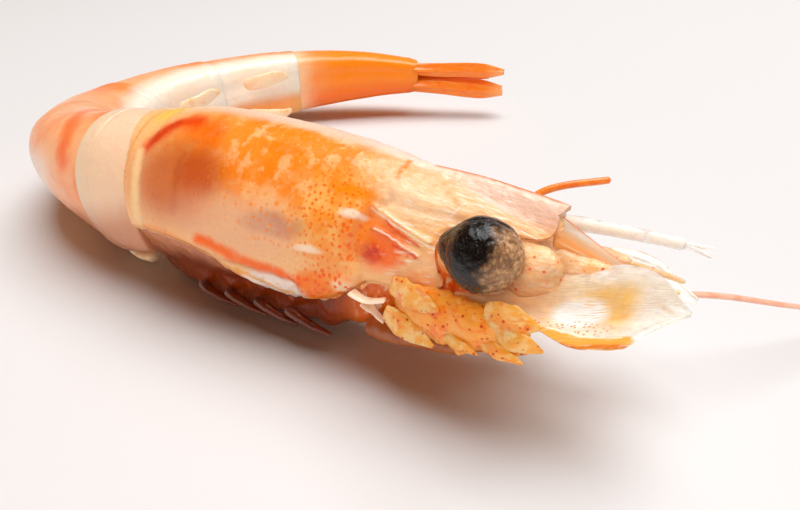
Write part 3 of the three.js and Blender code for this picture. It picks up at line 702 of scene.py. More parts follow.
    finish.raise_by(dots * crowd, -0.015)
    finish.raise_by(fine, 0.07)
    finish.raise_by(wide, 0.14)
    finish.feed("Roughness", fine * 0.4 + 0.12)
    return finish.done()


fix(head_shell, ["head_shell"], shell_finish())

# ---- Snout ----
# The blade that the head shell runs out into, on edge over the eyes. It is clear along its top and orange
# in its core. It is cracked through near its middle, and the tip hangs on by what is left of the crack.

SNOUT_BREAK, SNOUT_REAR = -5.8, 3.5
TIP_END, TIP_BREAK = -11.1, -5.2
SNOUT_FOOT = [[-5.8, 1.8], [0, 3.1], [4.5, 4.2], [11, 5.3]]
TIP_TOP = [[-11.1, 0.15], [-5.4, 3.3]]
TIP_FOOT = [[-11.1, -0.2], [-5.4, 1.2]]


def round_ends(along, length, radius):
    """The fullness at each share of a length whose two ends are rounded to that radius."""
    return rounded(np.minimum(along, 1 - along) * length / radius)


def blade(name, front, rear, top, foot, half_thickness, fray):
    """A closed blade on edge, thick in its core and thin along its top."""

    def place(along, around):
        height = 0.5 - 0.5 * np.cos(around * 2 * np.pi)
        distance = between(front, rear, along)
        distance += (1 - ramp(0, 0.12, along)) * fray * map_lumps(height * 3, around * 0, 0.5, 5)
        thickness = half_thickness * (0.16 + 0.84 * (1 - height) ** 0.8)
        closing = round_ends(along, rear - front, 0.3)
        to_right = np.sin(around * 2 * np.pi) * thickness * closing
        low, high = value_at(foot, distance), value_at(top, distance)
        to_back = between(low, high, 0.5 + (height - 0.5) * (0.75 + 0.25 * closing))
        return beside_line(distance, to_right, to_back), (distance, height)

    return close_seams(bent_grid(name, 90, 48, place))


snout = blade("snout_blade", SNOUT_BREAK, SNOUT_REAR, CREST_TOP, SNOUT_FOOT, CREST_WIDTH, 0.5)
snout_tip = blade("snout_tip", TIP_END, TIP_BREAK, TIP_TOP, TIP_FOOT, 0.4, 0.0)


def snout_finish(name, tip):
    finish = Finish(name, tint(253, 214, 172), roughness=0.24, coat=0.8, clearness=0.3)
    where = finish.map()
    along, height = finish.part(where, 0), finish.part(where, 1)
    grain = finish.clouds(finish.vector("MULTIPLY", where, (0.35, 6, 1)), 1.0, 3.0)
    top_edge, core = height.ramp(0.93, 0.985), height.ramp(0.62, 0.4)
    finish.paint(core, tint(253, 190, 128) if tip else tint(253, 200, 148))
    finish.paint(height.ramp(0.58, 0.78), tint(252, 232, 214))
    finish.paint(grain.ramp(0.52, 0.7) * height.ramp(0.45, 0.3) * 0.6, tint(254, 240, 222))
    if tip:
        finish.paint(along.ramp(-10, -11), tint(250, 158, 74))
    finish.paint(top_edge * 0.9, tint(210, 104, 56) if tip else tint(226, 130, 92))
    finish.raise_by(grain, 0.05)
    finish.feed("Alpha", 1 - height.ramp(0.4, 0.85) * (1 - top_edge) * (0.55 if tip else 0.35))
    return finish.done()


fix(snout, ["head_shell"], snout_finish("snout_shell", False))
fix(snout_tip, ["head_shell"], snout_finish("snout_tip_shell", True))

# ---- Eyes ----
# Each eye is an egg of dark jelly under a clear wrinkled skin, on a short stalk that grows out of the head.
# Boiling has clouded its front and left its skin torn along the lower edge.

EYE_RADII = (2.55, 2.25, 2.2)
EYES = {"right": (2.4, 4.6, 1.5), "left": (1.6, -4.1, 1.2)}
EYE_CREASE = [(-0.2, 0.3), (0.5, -0.1)]


def head_point(ahead, to_right, to_back):
    """Points of the head, in millimetres ahead of the orbit, to its right and towards its back."""
    at, tailward, back, right = frame_at(0.0)
    offsets = (ahead, to_right, to_back)
    ahead, to_right, to_back = (np.asarray(offset, float)[..., None] for offset in offsets)
    return at - tailward * ahead + right * to_right + back * to_back


def eye_ball(name, centre, seed):
    """An egg with its narrow end on the stalk, wrinkled all over, creased and torn below."""

    def place(along, around):
        turn, rise = around * 2 * np.pi, along * np.pi
        ahead, across, back = -np.cos(rise), np.sin(rise) * np.sin(turn), np.sin(rise) * np.cos(turn)
        egg = 1 - 0.1 * (1 - ramp(-1, 0.1, ahead))
        unit = np.stack([ahead, across, back], 1)
        torn = ramp(0.55, 0.85, -back) * ramp(-0.5, 0.3, ahead)
        swell = 1 + 0.018 * lumps(unit, 0.5, seed) + 0.012 * lumps(unit, 0.16, seed + 1)
        swell = (swell + 0.05 * torn * lumps(unit, 0.11, seed)) * egg
        taper = 1 - 0.14 * ramp(0.2, 0.9, -ahead)
        swell += 0.014 * np.abs(lumps(unit, 0.28, seed + 2)) - 0.03 * bump(EYE_CREASE, 0.09, ahead, across)
        stretch = 1 + 0.12 * ramp(0.6, 1.0, -ahead)
        offsets = [offset * radius * swell for offset, radius in
                   zip((ahead * stretch, across * taper, back * taper), EYE_RADII)]
        return head_point(*(at + offset for at, offset in zip(centre, offsets))), (ahead, turn)

    return close_seams(bent_grid(name, 110, 150, place))


def eye_finish():
    finish = Finish("eye_jelly", tint(8, 4, 3), roughness=0.16, coat=0.28, clearness=0.0)
    where, space = finish.map(), finish.space()
    ahead = finish.part(where, 0)
    cloudy, fine = finish.clouds(space, 1.3, 4.0), finish.clouds(space, 0.3, 4.0)
    front = (ahead + cloudy * 1.2).ramp(0.88, 1.38)
    finish.paint(cloudy.ramp(0.55, 0.75) * 0.4, tint(60, 40, 34))
    finish.paint(front * 0.85, tint(172, 132, 98))
    finish.paint(front * fine.ramp(0.5, 0.62) * 0.7, tint(214, 176, 134))
    finish.paint(front * fine.ramp(0.46, 0.36) * 0.6, tint(64, 42, 32))
    finish.paint(ahead.ramp(-0.88, -0.98), tint(190, 104, 46))
    finish.raise_by(fine, 0.09)
    finish.raise_by(cloudy, 0.5)
    finish.feed("Roughness", fine * 0.5 + 0.02)
    return finish.done()


eye_material = eye_finish()
for number, (side, centre) in enumerate(EYES.items()):
    eye = eye_ball(f"eye_ball_{side}", centre, 11 + number)
    fix(eye, [f"eye_{side}"], eye_material)


def limb(name, route, half_width, half_thickness, along, around, reference=(0, 0, 1), rough=0.0, seed=0,
         knuckles=0):
    """A limb with round ends along a smooth route, which may be flat, lumpy or ringed by knuckles."""
    route = np.asarray(route, float)
    knots = np.concatenate([[0], np.cumsum(np.linalg.norm(np.diff(route, axis=0), axis=1))])
    length = knots[-1]

    def line_at(where):
        return np.stack([value_at(np.stack([knots, route[:, axis]], 1), where) for axis in range(3)], 1)

    def place(share, turn):
        where = share * length
        ends = [line_at(np.clip(where + shift * length, 0, length)) for shift in (-0.004, 0.004)]
        tangent = ends[1] - ends[0]
        tangent /= np.linalg.norm(tangent, axis=1)[:, None]
        across = np.cross(np.asarray(reference, float), tangent)
        across /= np.linalg.norm(across, axis=1)[:, None]
        through = np.cross(tangent, across)
        width, thickness = value_at(half_width, share), value_at(half_thickness, share)
        size = round_ends(share, length, np.maximum(np.minimum(width, thickness), 0.01))
        angle = turn * 2 * np.pi
        if rough:
            around_line = line_at(where) + across * np.cos(angle)[:, None]
            size = size * (1 + rough * lumps(around_line, 0.8, seed))
        if knuckles:
            size = size * (1 + 0.1 * np.abs(np.cos(share * np.pi * knuckles)) ** 8)
        points = line_at(where) + across * (np.cos(angle) * width * size)[:, None]
        return points + through * (np.sin(angle) * thickness * size)[:, None], (where, turn)

    return close_seams(bent_grid(name, along, around, place))


def stalk_finish():
    finish = Finish("eye_stalk", tint(248, 178, 104), roughness=0.25, coat=0.8, clearness=0.4)
    finish.paint(finish.clouds(finish.space(), 0.7).ramp(0.45, 0.65) * 0.7, tint(226, 112, 36))
    return finish.done()


STALK_WIDTH = [[0, 1.2], [0.5, 1.3], [1, 1.9]]
STALK_HEIGHT = [[0, 1.1], [0.5, 1.3], [1, 1.8]]
stalk_material = stalk_finish()
for side, (ahead, to_right, to_back) in EYES.items():
    outwards = math.copysign(1, to_right)
    route = [head_point(ahead - 1.6, outwards * 1.9, to_back - 1.2),
             head_point(ahead - 1.7, to_right - outwards * 1.2, to_back - 0.9),
             head_point(ahead - 1.3, to_right - outwards * 0.5, to_back - 0.5)]
    stalk = limb(f"eye_stalk_{side}", route, STALK_WIDTH, STALK_HEIGHT, 30, 32, rough=0.1, seed=4)
    fix(stalk, [f"eye_{side}"], stalk_material)

# ---- Feelers beside the snout ----
# The first antennae, one on each side of the snout's tip: a thick, clear, dotted base joint, a stem of two
# joints and two short whips. They are thin shell on pale flesh and grow out of the head between the eyes.

SIDES = (("right", 1), ("left", -1))
BASE_JOINT = ((2.4, 1.7, 0.2), (4.6, 2.3, 0.5), (6.8, 2.0, 0.9))
BASE_JOINT_WIDTH = [[0, 1.1], [0.6, 1.2], [1, 0.9]]
BASE_JOINT_HEIGHT = [[0, 1.3], [0.5, 1.75], [1, 1.2]]
STEM = ((5.6, 1.6, 1.1), (7.6, 1.55, 1.15), (9.8, 1.45, 1.2))
STEM_WIDTH = [[0, 0.7], [0.42, 0.72], [0.5, 0.66], [0.6, 0.7], [1, 0.45]]
STEM_HEIGHT = [[0, 1.0], [0.42, 0.9], [0.5, 0.84], [0.6, 0.86], [1, 0.55]]
SHORT_WHIP = [[0, 0.3], [1, 0.13]]


def joint_finish():
    finish = Finish("feeler_joint", tint(253, 206, 160), roughness=0.26, coat=0.3, clearness=0.5)
    space = finish.space()
    finish.paint(finish.clouds(space, 1.0).ramp(0.5, 0.68) * 0.5, tint(253, 190, 126))
    dots = finish.speckle(space, 0.4, 0.32, flat=False)
    finish.paint(dots * finish.clouds(space, 1.3).ramp(0.44, 0.54), tint(238, 104, 24))
    threads = finish.clouds(finish.vector("MULTIPLY", space, (1, 1, 2.5)), 0.8, 4.0)
    finish.paint(threads.ramp(0.54, 0.62) * 0.5, tint(254, 232, 208))
    finish.paint(threads.ramp(0.42, 0.34) * 0.4, tint(250, 176, 108))
    finish.raise_by(threads, 0.22)
    finish.feed("Alpha", 1 - finish.clouds(space, 1.6).ramp(0.3, 0.7) * 0.4)
    return finish.done()


def head_route(places, outwards):
    """Places of one side of the head as points. Outwards is 1 on the right and -1 on the left."""
    return [head_point(ahead, outwards * to_side, to_back) for ahead, to_side, to_back in places]


joint_material = joint_finish()
for side, outwards in SIDES:
    base, stem = head_route(BASE_JOINT, outwards), head_route(STEM, outwards)
    joints = [limb(f"feeler_base_{side}", base, BASE_JOINT_WIDTH, BASE_JOINT_HEIGHT, 50, 40, rough=0.09,
                   seed=6),
              limb(f"feeler_stem_{side}", stem, STEM_WIDTH, STEM_HEIGHT, 48, 32, rough=0.07, seed=7)]
    for number, spread in enumerate((0.3, -0.3), 1):
        root = stem[1] * 0.3 + stem[2] * 0.7 + np.array([0, 0, spread * 0.4])
        ends = head_route(((11.4, 1.3, 0.9 + spread * 1.4), (12.8, 1.2, 0.6 + spread * 2)), outwards)
        joints.append(limb(f"feeler_whip_{side}_{number}", [root, *ends], SHORT_WHIP, SHORT_WHIP, 40, 12,
                           knuckles=14))
    for joint in joints:
        fix(joint, [f"antennule_{side}"], joint_material)

# ---- Antennal scales ----
# A thin clear blade of shell on each side of the snout, rooted under the eye and stiffened by an orange rib
# along its straight outer edge. The rest is a lamina as thin as a petal, finely lined and wrinkled, and the
# right one is stained yellow.

SCALE_LENGTH = 13
OUTER_EDGE = [[0, 2.3], [0.3, 2.1], [0.5, 0.7], [0.6, 0.1], [0.8, 0], [0.87, 1], [1, 2.4]]
INNER_EDGE = {"right": [[0, 2.9], [0.2, 3.6], [0.36, 6.2], [0.5, 7.4], [0.7, 7.4], [0.86, 5.6], [1, 2.8]],
              "left": [[0, 2.9], [0.25, 3.6], [0.45, 4.4], [0.7, 4.2], [0.85, 3.8], [1, 2.8]]}
SCALE_HEIGHT = {"right": [[0, -3.2], [6.5, -2.4], [13, -0.2]],
                "left": [[0, -1.5], [4, -1.2], [7.4, 1.3], [13, 0.4]]}
SCALE_TILT = {"right": 0.4, "left": -0.3}
SCALE_WALL = 0.13
RIGHT_FOLD = [[0, 5], [2, 3.4], [3.2, 2.85], [4.4, 2.6], [5.4, 2.4], [6.4, 2.1], [7.4, 1.6]]
RIGHT_RISE = [[0, 0], [2, 0], [3.2, 0.15], [4.4, 0.8], [5.4, 1.4], [6.4, 1.9], [7.4, 2.2]]


def scale(side, outwards):
    """One blade. The right one rises towards the snout across its width, and the left one is flatter."""

    def place(along, around):
        distance = along * SCALE_LENGTH
        across = between(value_at(OUTER_EDGE, along), value_at(INNER_EDGE[side], along), around)
        height = value_at(SCALE_HEIGHT[side], distance) + across * SCALE_TILT[side]
        height -= (across - 2) ** 2 * 0.05
        rib = np.exp(-((around - 0.06) / 0.07) ** 2)
        height += 0.16 * rib + 0.05 * np.sin(around * 9 + along * 4) * ramp(0.2, 0.4, around)
        height += 0.09 * map_lumps(distance, across, 1.3, 14)
        to_right = 5 - across * 0.8
        if outwards > 0:
            to_right = value_at(RIGHT_FOLD, across)
            height += value_at(RIGHT_RISE, across)
        return head_point(distance + 0.6, outwards * to_right, height), (distance, across)

    sheet = bent_grid(f"scale_blade_{side}", 120, 76, place)
    far_below = head_point(7.0, outwards * 3.0, -30.0)
    return give_wall(faces_out(sheet, far_below), SCALE_WALL, 0.0)


def scale_finish(name, right):
    finish = Finish(name, tint(254, 242, 222), roughness=0.22, coat=0.9, clearness=0.15, depth=0.5)
    where = finish.map()
    along, across = finish.part(where, 0), finish.part(where, 1)
    near = finish.shaken(where, 0.15, 0.8)
    loose = finish.shaken(where, 0.4, 1.5)
    lines = finish.clouds(finish.vector("MULTIPLY", where, (1.2, 9, 1)), 1.0, 2.0)
    cloudy = finish.clouds(where, 1.2, 4.0)
    clear = along.ramp(4.5, 9.5) * 0.55 + 0.2
    if right:
        finish.paint(along.ramp(6.5, 3.5), tint(250, 198, 144))
        finish.paint(along.ramp(7.6, 5.8) * 0.8, tint(252, 214, 172))
        stain = finish.blob(loose, (9.4, 3.9), (2.2, 2.2), 1.0)
        finish.paint(stain * 0.9, tint(253, 204, 112))
        core = finish.blob(loose, (9.4, 2.9), (0.8, 0.7), 0.8)
        finish.paint(core * cloudy.ramp(0.45, 0.6), tint(250, 176, 60))
        white = finish.blob(near, (7.6, 2.8), (1.5, 1.3), 0.6)
        finish.paint(along.ramp(9.6, 11.0) * 0.85, tint(254, 249, 242))
        finish.paint(across.ramp(4.2, 5.8) * along.ramp(6.5, 8.5) * 0.8, tint(254, 250, 244))
        finish.paint(white * lines.ramp(0.3, 0.44), tint(255, 254, 252))
        dotted = finish.blob(loose, (7.2, 1.3), (2.8, 0.8), 0.6)
        finish.paint(finish.speckle(near, 0.34, 0.28) * dotted, tint(244, 150, 70))
        clear = clear * (1 - stain * 0.6) * (1 - white * 0.8)
    else:
        finish.paint(along.ramp(5, 8), tint(254, 250, 244))
    rib = finish.stroke(near, [(6.1, 0.85), (7.8, 0.3), (10.4, 0.3)], 0.85, 0.4)
    finish.paint(rib * (1.0 if right else 0.35), tint(252, 182, 96))
    light_line = finish.stroke(near, [(6.2, 1.25), (8, 0.75), (10.2, 0.6)], 0.12, 0.8)
    dark_line = finish.stroke(near, [(6.1, 0.6), (7.8, 0.08), (10.6, 0.1)], 0.2, 0.8)
    finish.paint(light_line, tint(255, 244, 220))
    finish.paint(dark_line * 0.7, tint(206, 112, 52))
    finish.paint(lines.ramp(0.55, 0.75) * 0.35, tint(255, 252, 244))
    finish.raise_by(lines, 0.06)
    finish.raise_by(cloudy, 0.1)
    finish.feed("Alpha", 1 - clear * (1 - rib) * cloudy.ramp(0.75, 0.3))
    return finish.done()


for side, outwards in SIDES:
    scale_material = scale_finish(f"scale_lamina_{side}", outwards > 0)
    fix(scale(side, outwards), [f"scale_{side}"], scale_material)

# ---- Base joints of the long antennae ----
# The stout dotted joints under each eye that carry the long antennae. The right antenna is torn off, and
# its last joint ends in ragged tatters of shell round soft orange flesh.

BASE_LENGTH = 9
# How far ahead of the orbit, to the side and towards the back the joints are, by a share of their length.
BASE_LINE = [[(0, -3.2), (0.5, 1.5), (1, 5.8)], [(0, 3.5), (0.5, 4.1), (1, 4.1)],
             [(0, -3.4), (0.5, -3.2), (1, -3.0)]]
BASE_WIDTH = {"right": [[0, 0.7], [0.2, 1.3], [0.6, 1.35], [0.8, 1.05], [1, 0.95]],
              "left": [[0, 0.7], [0.2, 1.3], [0.6, 1.35], [0.8, 1.05], [1, 0.8]]}
WAIST_AT, WAIST_WIDTH, WAIST_DEPTH = 0.46, 0.02, 0.08
# The joints' half width and half height, as shares of their size.
BASE_BREADTH, BASE_HEIGHT = 0.62, 1.2
# Each tatter runs from one place on the head to another and has a half width, in millimetres.
TATTERS = (((4.1, 4.6, -2.8), (7, 4.4, -3.2), 0.7), ((3.4, 4.6, -3.8), (6.1, 4.6, -4.2), 0.45),
           ((1, 4.7, -4.1), (3.4, 4.8, -4.5), 0.35), ((3.2, 4.6, -1.8), (6.6, 4.3, -1.9), 0.95),
           ((-3.4, 4, -2.2), (0.6, 4.9, -2.6), 0.9), ((-3.6, 4.1, -4.2), (0.4, 4.5, -5.2), 0.8))


def antenna_base(side, outwards, torn):
    """Two joints in one closed piece, with a waist between them. A torn one is ragged in front and below.

    Torn is 1 for the torn antenna and 0 for the whole one.
    """

    def place(share, turn):
        ahead, to_side, to_back = (value_at(line, share) for line in BASE_LINE)
        angle = turn * 2 * np.pi
        closing = round_ends(share, BASE_LENGTH, 0.7)
        size = value_at(BASE_WIDTH[side], share)
        size = size * closing * (1 - WAIST_DEPTH * np.exp(-((share - WAIST_AT) / WAIST_WIDTH) ** 2))
        unit = np.stack([share * BASE_LENGTH, np.cos(angle), np.sin(angle)], 1)
        size = size * (1 + 0.1 * lumps(unit, 0.8, 21) + 0.05 * lumps(unit, 0.35, 22))
        teeth = 0.8 * np.sin(angle * 5) + 0.45 * np.sin(angle * 3 + 1)
        ragged = torn * ramp(0.86, 1, share) * teeth * closing
        shreds = torn * 0.3 * ramp(0.2, 0.9, -np.sin(angle)) * np.abs(lumps(unit, 0.6, 23))
        size *= 1 + shreds * ramp(0.2, 0.5, share)
        to_side = outwards * (to_side + np.cos(angle) * size * BASE_BREADTH)
        to_back = to_back + np.sin(angle) * size * BASE_HEIGHT
        return head_point(ahead + ragged * 0.6, to_side, to_back), (share * BASE_LENGTH, angle)

    return close_seams(bent_grid(f"antenna_joint_{side}", 110, 72, place))


def base_finish(name, torn):
    finish = Finish(name, tint(250, 176, 88), roughness=0.28, coat=0.6, clearness=0.35)
    where, space = finish.map(), finish.space()
    if torn:
        finish.paint(finish.clouds(space, 0.7, 4.0).ramp(0.42, 0.6) * 0.8, tint(252, 206, 148))
    stretched = finish.vector("MULTIPLY", finish.shaken(space, 0.5, 1.5), (0.45, 0.7, 1.6))
    streaks = finish.clouds(stretched, 0.8, 4.0)
    finish.paint(streaks.ramp(0.5, 0.6) * 0.7, tint(250, 150, 44))
    finish.paint(streaks.ramp(0.42, 0.34) * 0.6, tint(252, 206, 150))
    finish.paint(finish.clouds(space, 0.9).ramp(0.56, 0.66) * 0.6, tint(242, 118, 22))
    finish.paint(finish.speckle(space, 0.38, 0.32, flat=False) * streaks.ramp(0.44, 0.52), tint(202, 74, 8))
    finish.raise_by(streaks, 0.12)
    return finish.done()


def tatter(name, start, end, half_width, seed):
    """A ragged flap of skin from one place on the head to another."""
    middle = (np.asarray(start) + np.asarray(end)) / 2 + (0, 0.3, 0.1)
    size = [[0, half_width * 0.6], [0.3, half_width], [0.7, half_width * 0.75], [1, half_width * 0.12]]
    return limb(name, head_route((start, middle, end), 1), size, [[0, 0.1], [1, 0.05]], 60, 40,
                reference=(0.5, 0.8, -0.3), rough=0.24, seed=seed)


base_material = base_finish("antenna_joint", False)
for side, outwards in SIDES:
    joint = antenna_base(side, outwards, 1.0 if outwards > 0 else 0.0)
    fix(joint, [f"antenna_base_{side}"], base_material)
tatter_material = base_finish("torn_skin", True)
for number, (start, end, half_width) in enumerate(TATTERS, 1):
    flap = tatter(f"joint_tatter_{number}", start, end, half_width, 40 + number)
    fix(flap, ["antenna_base_right"], tatter_material)

# ---- Mouthparts and legs ----
# The jointed limbs under the head: the last mouthparts, the long left leg with its small claw, the left
# walking legs down to the worktop, and the right ones folded under the belly. All are thin shell on flesh.

MOUTHPART_WIDTH = [[0, 0.7], [0.2, 1], [0.6, 0.9], [1, 0.4]]
MOUTHPART_HEIGHT = [[0, 0.6], [0.2, 0.8], [0.6, 0.7], [1, 0.3]]
LEG_SIZE = [[0, 0.72], [0.4, 0.61], [0.8, 0.36], [1, 0.22]]
FOLDED_SIZE = [[share, half * 0.6] for share, half in LEG_SIZE]
# Where each pair of walking legs leaves the body, how far out the left one reaches and how far forwards.
LEGS = ((12.5, 8.6, 6), (15.6, 9.4, 3), (18.7, 10, -1.5), (21.8, 10.2, -5))
LONG_LEG_SIZE = [[0, 0.75], [0.4, 0.6], [0.8, 0.5], [1, 0.4]]
CLAW_SIZE = [[0, 0.26], [1, 0.1]]
CLAW_TIPS = ((20.4, 3.2, 9.6), (20.1, 2.9, 9.1))


def limb_finish(name, colour, joints, clear):
    finish = Finish(name, tint(*colour), roughness=0.28, coat=0.7, clearness=0.1 if clear else 0.4)
    space = finish.space()
    cloudy = finish.clouds(space, 1.4, 3.0)
    finish.paint(cloudy.ramp(0.48, 0.66) * 0.7, tint(*joints))
    dots = finish.speckle(space, 0.5, 0.22, flat=False)
    finish.paint(dots * cloudy.ramp(0.4, 0.6) * (0.1 if clear else 0.6), tint(236, 118, 48))
    finish.raise_by(finish.clouds(space, 0.3), 0.04)
    if clear:
        finish.feed("Alpha", 1 - cloudy.ramp(0.6, 0.3) * clear)
    return finish.done()


def body_route(places):
    """Places beside the middle line as points."""
    return [beside_line(*place) for place in places]


mouth_material = limb_finish("mouthpart_shell", (206, 126, 66), (160, 74, 26), 0.0)
for side, outwards in SIDES:
    route = [beside_line(6.0, outwards * 1.9, -6.5),
             *head_route(((-3, 2.3, -6.1), (0.5, 2.3, -5.6), (4, 1.5, -4.9)), outwards)]
    mouthpart = limb(f"mouthpart_{side}", route, MOUTHPART_WIDTH, MOUTHPART_HEIGHT, 60, 24, rough=0.12,
                     seed=31, knuckles=3)
    fix(mouthpart, [f"maxilliped_{side}"], mouth_material, shaded=True)

long_leg_material = limb_finish("clear_leg_shell", (254, 251, 246), (254, 246, 234), 0.85)
long_leg_route = np.array([beside_line(10.0, -3.1, -6.1), (1.5, 15.2, 4.4), (6, 13.6, 6.6),
                           (9.5, 10.9, 8.1), (12.9, 7.9, 9), (17, 4.9, 9.5), (18.9, 3.9, 9.5)])
long_leg = limb("long_leg_left", long_leg_route, LONG_LEG_SIZE, LONG_LEG_SIZE, 110, 20, knuckles=4)
fix(long_leg, ["leg_left_1"], long_leg_material)
wrist, hand = long_leg_route[5], long_leg_route[6]
for number, tip in enumerate(CLAW_TIPS, 1):
    finger = [wrist * 0.3 + hand * 0.7, (hand + tip) / 2, tip]
    claw = limb(f"claw_{number}", finger, CLAW_SIZE, CLAW_SIZE, 20, 12)
    fix(claw, ["leg_left_1"], long_leg_material)

leg_material = limb_finish("leg_shell", (249, 206, 160), (246, 158, 90), 0.0)
# Painted shade: the folded right legs are painted near-black brown for the shade under the belly.
folded_shade_material = limb_finish("folded_leg_painted_shade", (128, 62, 28), (92, 38, 12), 0.0)
for number, (root, reach, swing) in enumerate(LEGS, 2):
    foot = beside_line(root - swing, -(reach + 1.5), 0) * (1, 1, 0)
    route = body_route(((root, -3.1, -6.5), (root - swing * 0.35, -reach, -5.9),
                        (root - swing * 0.7, -(reach + 1.2), -6.3)))
    leg = limb(f"walking_leg_left_{number}", [*route, foot], LEG_SIZE, LEG_SIZE, 60, 16, knuckles=4)
    fix(leg, [f"leg_left_{number}"], leg_material)
    route = body_route(((root, 3.1, -6.5), (root - 1.2, 3.4, -6.6), (root - 2.6, 3.1, -7.2),
                        (root - 4, 2.6, -7.7)))
    leg = limb(f"walking_leg_right_{number}", route, FOLDED_SIZE, FOLDED_SIZE, 40, 16, knuckles=3)
    fix(leg, [f"leg_right_{number}"], folded_shade_material, shaded=True)

# ---- Long antenna and broken feeler ----
# Two ringed whips of thin shell from the left side of the head: one long and pink that droops to the
# worktop, and the stiff orange stump of a broken one that stands up behind the snout.

WHIP = 0.19
WHIP_SIZE = [[0, WHIP * 1.3], [0.5, WHIP], [1, WHIP * 0.7]]
STUMP_SIZE = [[0, 0.3], [1, 0.26]]


def whip_finish(name, light, dark, rings):
    finish = Finish(name, tint(*light), roughness=0.3, coat=0.5, clearness=0.3, depth=0.4)
    where = finish.map()
    along = finish.part(where, 0)
    ring = finish.node("ShaderNodeMath", {"operation": "SINE"}, {0: along * rings})
    finish.paint(ring.ramp(0.2, 0.9) * 0.2, tint(*dark))
    finish.paint(finish.clouds(finish.space(), 1.5).ramp(0.45, 0.65) * 0.5, tint(*dark))
    finish.raise_by(ring, 0.004)
    return finish.done()


whip_route = [head_point(6.4, -4, -3.4), head_point(9.5, -4.6, -2.9), (18.6, 2.1, 6.8), (28.4, 4.6, 4.1),
              (37, 8, 1.4), (46, 12.5, WHIP)]
whip = limb("long_antenna", whip_route, WHIP_SIZE, WHIP_SIZE, 220, 12)
fix(whip, ["antenna_whip"], whip_finish("antenna_shell", (246, 198, 176), (238, 158, 126), 22.0))

stump_route = [head_point(3.9, -6.7, -2.2), (9.1, 8.7, 9.9), (10.6, 9, 11.2), (14.9, 8.9, 12)]
stump = limb("broken_feeler", stump_route, STUMP_SIZE, STUMP_SIZE, 90, 16)
fix(stump, ["feeler_stub"], whip_finish("feeler_shell", (247, 154, 74), (226, 104, 36), 26.0))

# ---- Torn strips ----
# Two curled strips of pale membrane, torn loose at the lower front corner of the head shell. They are skin
# from inside the shell's edge, and each still hangs on by its rear end.

# Where each strip starts, its angle from the back, its length and how far its free end drops.
STRIPS = ((6.2, 118.0, 2.6, 0.2), (5.4, 126.0, 1.6, 1.2))
STRIP_WIDTH = [[0, 0.42], [1, 0.3]]
STRIP_THICKNESS = [[0, 0.12], [1, 0.1]]


def torn_strip(name, distance, degrees, length, drop):
    start = body_point(distance, degrees, 1.06)
    middle = body_point(distance - length * 0.5, degrees + 2, 1.14)
    end = body_point(distance - length, degrees, 1.1) - np.array([0, 0, drop])
    return limb(name, [start, middle, end], STRIP_WIDTH, STRIP_THICKNESS, 40, 20, rough=0.35, seed=51)


membrane = Finish("torn_membrane", tint(252, 226, 206), roughness=0.3, coat=0.6, clearness=0.4)
membrane.paint(membrane.clouds(membrane.space(), 0.6).ramp(0.5, 0.66) * 0.7, tint(248, 178, 140))
membrane_material = membrane.done()
for number, strip in enumerate(STRIPS, 1):
    fix(torn_strip(f"membrane_strip_{number}", *strip), [f"torn_strip_{number}"], membrane_material)

# ---- Abdomen ----
# Six overlapping rings of shell on solid muscle. Each ring's rear rim lies over the next ring, whose front
# is narrower, and the sides run down into rounded plates beside the hollow belly.

RING_LENGTHS = (3.5, 12.2, 13.8, 13.5, 13, 18.5)
RING_GAP = 0.3
LIP = 1.4
RING_SECTION = [[0, 1], [90, 1], [112, 1.03], [128, 1.07], [142, 0.98], [158, 0.84], [180, 0.8]]
OUTLINE_KNOTS = np.array([0, 0.05, 0.07, 0.14, 0.2, 0.4, 0.6, 0.8, 0.9, 0.915, 0.925, 0.935, 0.96, 1])
FIRST_RING_FRONT = ((0, -0.9), (0.8, -0.9), (0.89, -0.85), (0.945, 0.2), (0.97, LIP))
LAST_RING_TAPER = (0.98, 0.9, 0.82, 0.74, 0.64, 0.54, 0.44)


def ring(number, start, length):
    """A closed ring. Its outline says how far out and how far along it goes, from its front to its rear."""
    open_length = length - LIP
    outline = np.array([(0, RING_GAP), (0.8, RING_GAP), (0.92, RING_GAP + 0.05), (0.97, LIP),
                        (0.978, LIP + 0.6), (0.985, LIP + open_length * 0.3), (1, LIP + open_length * 0.62),
                        (1.006, length), (1.008, length + LIP * 0.85), (1.0, length + LIP),
                        (0.985, length + LIP), (0.965, length + LIP * 0.9), (0.94, length), (0, length)])
    if number == 1:
        outline[:5] = FIRST_RING_FRONT
    if number == len(RING_LENGTHS):
        outline[6:13, 0] = LAST_RING_TAPER

    def place(along, around):
        reach, distance = (np.interp(along, OUTLINE_KNOTS, outline[:, axis]) for axis in (0, 1))
        degrees = (around * 2 - 1) * 180
        place = start + distance
        reach = reach * value_at(RING_SECTION, np.abs(degrees))
        skin = body_point(place, degrees)
        outside = ramp(0.12, 0.22, along) * (1 - ramp(0.9, 0.93, along))
        uneven = 0.006 * lumps(skin, 3.0, 60 + number) + 0.003 * lumps(skin, 0.8, 70 + number)
        reach = reach + outside * uneven
        # A fine groove runs round the ring in front of its rear rim.
        reach -= 0.012 * outside * np.exp(-((along - 0.78) / 0.012) ** 2)
        return body_point(place, degrees, reach), (place, degrees / 10)

    return close_seams(bent_grid(f"ring_{number}", 130, 150, place))


